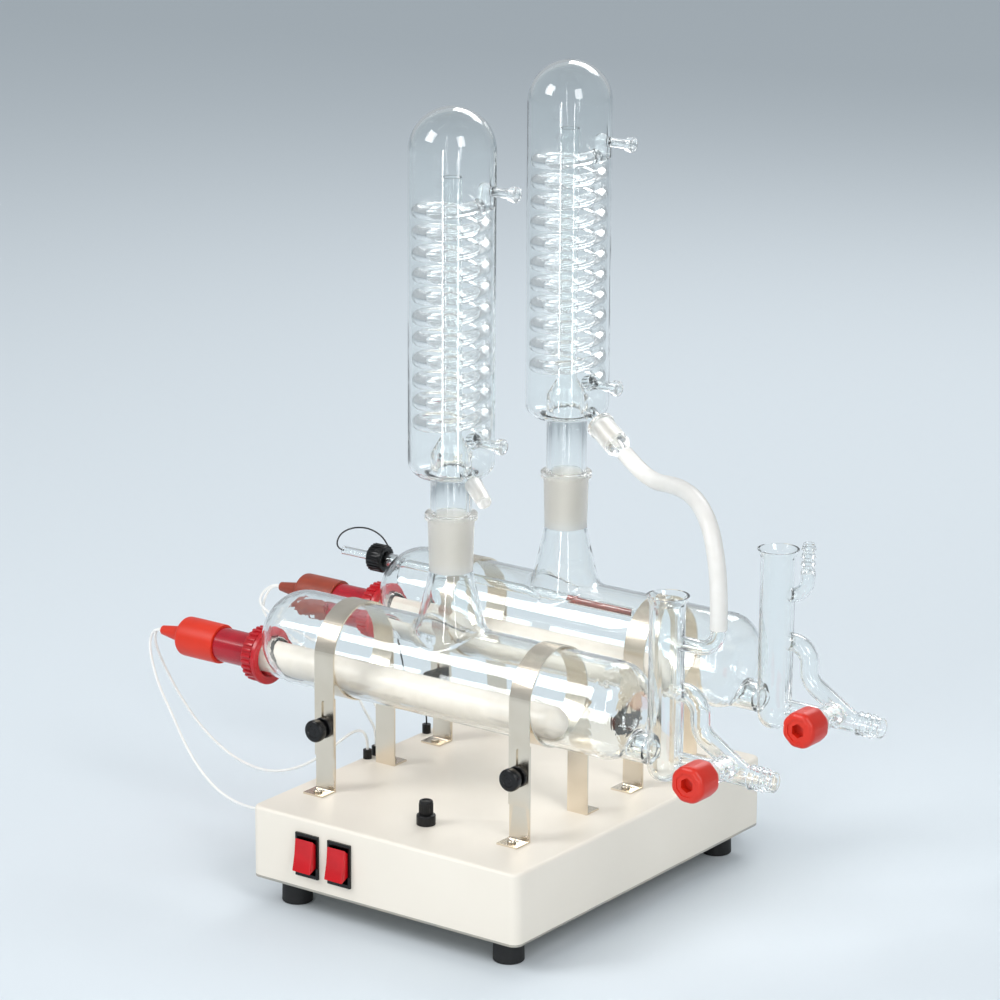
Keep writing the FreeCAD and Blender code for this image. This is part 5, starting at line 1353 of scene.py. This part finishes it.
REAR_LOW = Route(
    "rear_lead_low", "rear_lead_to_second_gland",
    (
        (-312.5, 87.3, 176), (-319.5, 87.3, 176), (-323.5, 83.8, 171), (-321.5, 74.3, 163),
        (-314, 65, 156), (-290, 57, 149), (-262, 48, 143), (-232, 39, 138), (-200, 28, 134),
        (-171, 16, 130), (-146, -8, 125), (-131.5, -14, 115), (-121.5, -18, 108), (-121.5, -18, 94),
    ),
    271.8, 2.4, "limp", "lead_silicone",
)
REAR_HIGH = Route(
    "rear_lead_high", "rear_lead_to_third_gland",
    (
        (-312.5, 90.7, 176), (-319.5, 90.7, 176), (-326, 87.2, 173), (-327, 77.7, 168),
        (-318, 65, 163), (-293, 58, 158), (-264, 50, 153), (-233, 44, 149), (-201, 35, 144),
        (-172, 25, 138), (-147, 7, 130), (-131.5, -1, 117), (-121.5, -6, 108), (-121.5, -6, 94),
    ),
    274.7, 2.4, "limp", "lead_silicone",
)
PROBE_WIRE = Route(
    "probe_wire", "probe_wire_to_gland",
    (
        (-240, 89, 223), (-246, 89, 223), (-251, 92, 228), (-249, 97, 236), (-240, 104, 241),
        (-227, 112, 240), (-216, 119, 230), (-211, 122, 211), (-208, 122, 187), (-202, 119, 161),
        (-192, 111, 137), (-179, 98, 117), (-162, 82, 105), (-144, 67, 103), (-128.5, 57, 110),
        (-121.5, 54, 107), (-121.5, 54, 94),
    ),
    278.7, 1.4, "limp", "wire_black",
)
HOSE = Route(
    "silicone_hose", "milky_hose",
    (
        (79.155, 60.19, 370.249), (101.298, 52.131, 359.261), (127, 38, 358), (155, 13, 367),
        (189, -17, 375), (220, -43, 376), (243, -61, 364), (255, -70, 342), (261, -74, 314),
        (261, -74, 286),
    ),
    293.4, 14.0, "medium", "hose_silicone",
)
ROUTES = (FRONT_LOW, FRONT_HIGH, REAR_LOW, REAR_HIGH, PROBE_WIRE, HOSE)


class Cords:
    """The hose, the heater wires and the probe's wire."""

    def __init__(self, shop: Shop, routes: tuple[Route, ...]) -> None:
        """Keeps the routes and the finish of each kind of cord."""
        self.routes = routes
        self.finish = {
            "lead_silicone": shop.lead,
            "wire_black": shop.wire,
            "hose_silicone": shop.hose,
        }

    def build(self) -> None:
        """Lays every cord."""
        for route in self.routes:
            self.lay(route, self.finish[route.slot])

    def lay(self, route: Route, material: bpy.types.Material) -> None:
        """Lays one cord as a smooth curve through its route.

        Args:
            route: The cord's route.
            material: Its finish.
        """
        curve = bpy.data.curves.new(route.name, "CURVE")
        curve.dimensions = "3D"
        spline = curve.splines.new("NURBS")
        spline.points.add(len(route.points) - 1)
        for point, (x, y, z) in zip(spline.points, route.points):
            point.co = (x * MM, y * MM, z * MM, 1.0)
        spline.order_u = 3
        spline.use_endpoint_u = True
        spline.resolution_u = 10
        curve.bevel_depth = route.diameter / 2 * MM
        curve.bevel_resolution = 6
        curve.use_fill_caps = True
        piece = bpy.data.objects.new(route.name, curve)
        bpy.context.scene.collection.objects.link(piece)
        curve.materials.append(material)
        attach(piece, "base")
        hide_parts(route.node)
        LOG.info("cord %s, %.0f mm", route.name, route.length)


@dataclass
class Studio:
    """Camera, lamps, floor and world."""

    place: Point = (1.87363, -2.58961, 1.22942)
    azimuth: float = 35.953
    elevation: float = 15.715
    roll: float = 0.374
    lens: float = 144.0
    floor_colour: str = "#DCE3E8"
    floor_size: float = 40.0
    world_strength: float = 0.62
    softboxes: tuple[tuple, ...] = (
        ("key softbox", (-1.5, -2.1, 2.3), (0, 0, 0.35), (1.3, 1.3), 46.0),
        ("right softbox", (2.3, -1.2, 2.2), (0, 0, 0.35), (1.0, 1.4), 30.0),
        ("back softbox", (-0.6, 2.3, 2.2), (0, 0, 0.4), (1.8, 1.0), 26.0),
    )
    strips: tuple[Ring, ...] = ((12.0, 0.06), (50.0, 0.03))
    strip_away: float = 1.2
    strip_middle: float = 0.42
    strip_height: float = 0.8
    strip_spread: float = 70.0
    strip_power: float = 9.0

    def build(self) -> None:
        """Sets up the picture."""
        self.camera()
        self.world()
        self.floor()
        for softbox in self.softboxes:
            self.lamp(*softbox)
        for turn, width in self.strips:
            self.strip(math.radians(turn), width)

    def strip(self, turn: float, width: float) -> None:
        """Stands a narrow light on the floor, for the upright gleams on the glass.

        Args:
            turn: Its place round the still, 0 being in front of the switches.
            width: Its width in metres.
        """
        away = self.strip_away
        place = (away * math.sin(turn), -away * math.cos(turn), self.strip_middle)
        size = (width, self.strip_height)
        light = self.lamp(
            "low strip light", place, (0, 0, self.strip_middle), size, self.strip_power * width
        )
        light.data.spread = math.radians(self.strip_spread)
        light.visible_camera = False

    def camera(self) -> None:
        """Stands the camera where the photographer stood."""
        a, e, r = (math.radians(v) for v in (self.azimuth, self.elevation, self.roll))
        back = Vector((math.sin(a) * math.cos(e), -math.cos(a) * math.cos(e), math.sin(e)))
        right = Vector((math.cos(a), math.sin(a), 0))
        up = back.cross(right)
        right, up = right * math.cos(r) + up * math.sin(r), up * math.cos(r) - right * math.sin(r)
        data = bpy.data.cameras.new("photo_camera")
        data.lens = self.lens
        data.sensor_width = 36.0
        data.clip_end = 60.0
        camera = bpy.data.objects.new("photo_camera", data)
        bpy.context.scene.collection.objects.link(camera)
        basis = Matrix((right, up, back)).transposed()
        camera.matrix_world = Matrix.Translation(Vector(self.place)) @ basis.to_4x4()
        bpy.context.scene.camera = camera

    def world(self) -> None:
        """A pale world that lights evenly and shows as the background."""
        world = bpy.data.worlds.new("pale_world")
        bpy.context.scene.world = world
        world.use_nodes = True
        tree = world.node_tree
        shader = next(n for n in tree.nodes if n.type == "BACKGROUND")
        shader.inputs["Color"].default_value = linear(self.floor_colour)
        shader.inputs["Strength"].default_value = self.world_strength

    def floor(self) -> None:
        """A wide pale floor."""
        clear_selection()
        bpy.ops.mesh.primitive_plane_add(size=self.floor_size, location=(0, 0, 0))
        floor = bpy.context.object
        floor.name = "pale_floor"
        material, _, shader = new_material("pale_studio_floor")
        shader.inputs["Base Color"].default_value = linear(self.floor_colour)
        shader.inputs["Roughness"].default_value = 0.9
        shader.inputs["Specular IOR Level"].default_value = 0.1
        floor.data.materials.append(material)

    def lamp(
        self, name: str, place: Point, target: Point, size: tuple[float, float], power: float
    ) -> bpy.types.Object:
        """Adds a rectangular softbox.

        Args:
            name: The lamp's name.
            place: Where it stands, in metres.
            target: Where it looks.
            size: Its width and height.
            power: Its power in watts.

        Returns:
            The lamp.
        """
        data = bpy.data.lights.new(name, "AREA")
        data.shape = "RECTANGLE"
        data.size, data.size_y = size
        data.energy = power
        lamp = bpy.data.objects.new(name, data)
        bpy.context.scene.collection.objects.link(lamp)
        look = Vector(target) - Vector(place)
        turn = look.to_track_quat("-Z", "Y").to_matrix().to_4x4()
        lamp.matrix_world = Matrix.Translation(Vector(place)) @ turn
        return lamp


def main() -> None:
    """Builds the whole picture in order."""
    logging.basicConfig(level=logging.INFO, format="%(name)s %(message)s")
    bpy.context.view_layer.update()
    Studio().build()
    scene = bpy.context.scene
    scene.view_settings.view_transform = "Standard"
    for kind in ("max_bounces", "transmission_bounces", "glossy_bounces", "transparent_max_bounces"):
        setattr(scene.cycles, kind, GLASS_BOUNCES)
    shop = Shop()
    Cords(shop, ROUTES).build()
    ControlBox(shop).build()
    Boiler(shop, Side.FRONT, -74.0).build()
    Boiler(shop, Side.REAR, 89.0).build()
    Condenser(shop, Side.FRONT, -74.0, 368.0, "front_condenser", -32.0, 20.0).build()
    Condenser(shop, Side.REAR, 89.0, 384.0, "base", -20.0, 25.0).build()
    LevelDevice(shop, Side.FRONT).build()
    LevelDevice(shop, Side.REAR).build()
    Probe(shop).build()


if __name__ == "__main__":
    main()
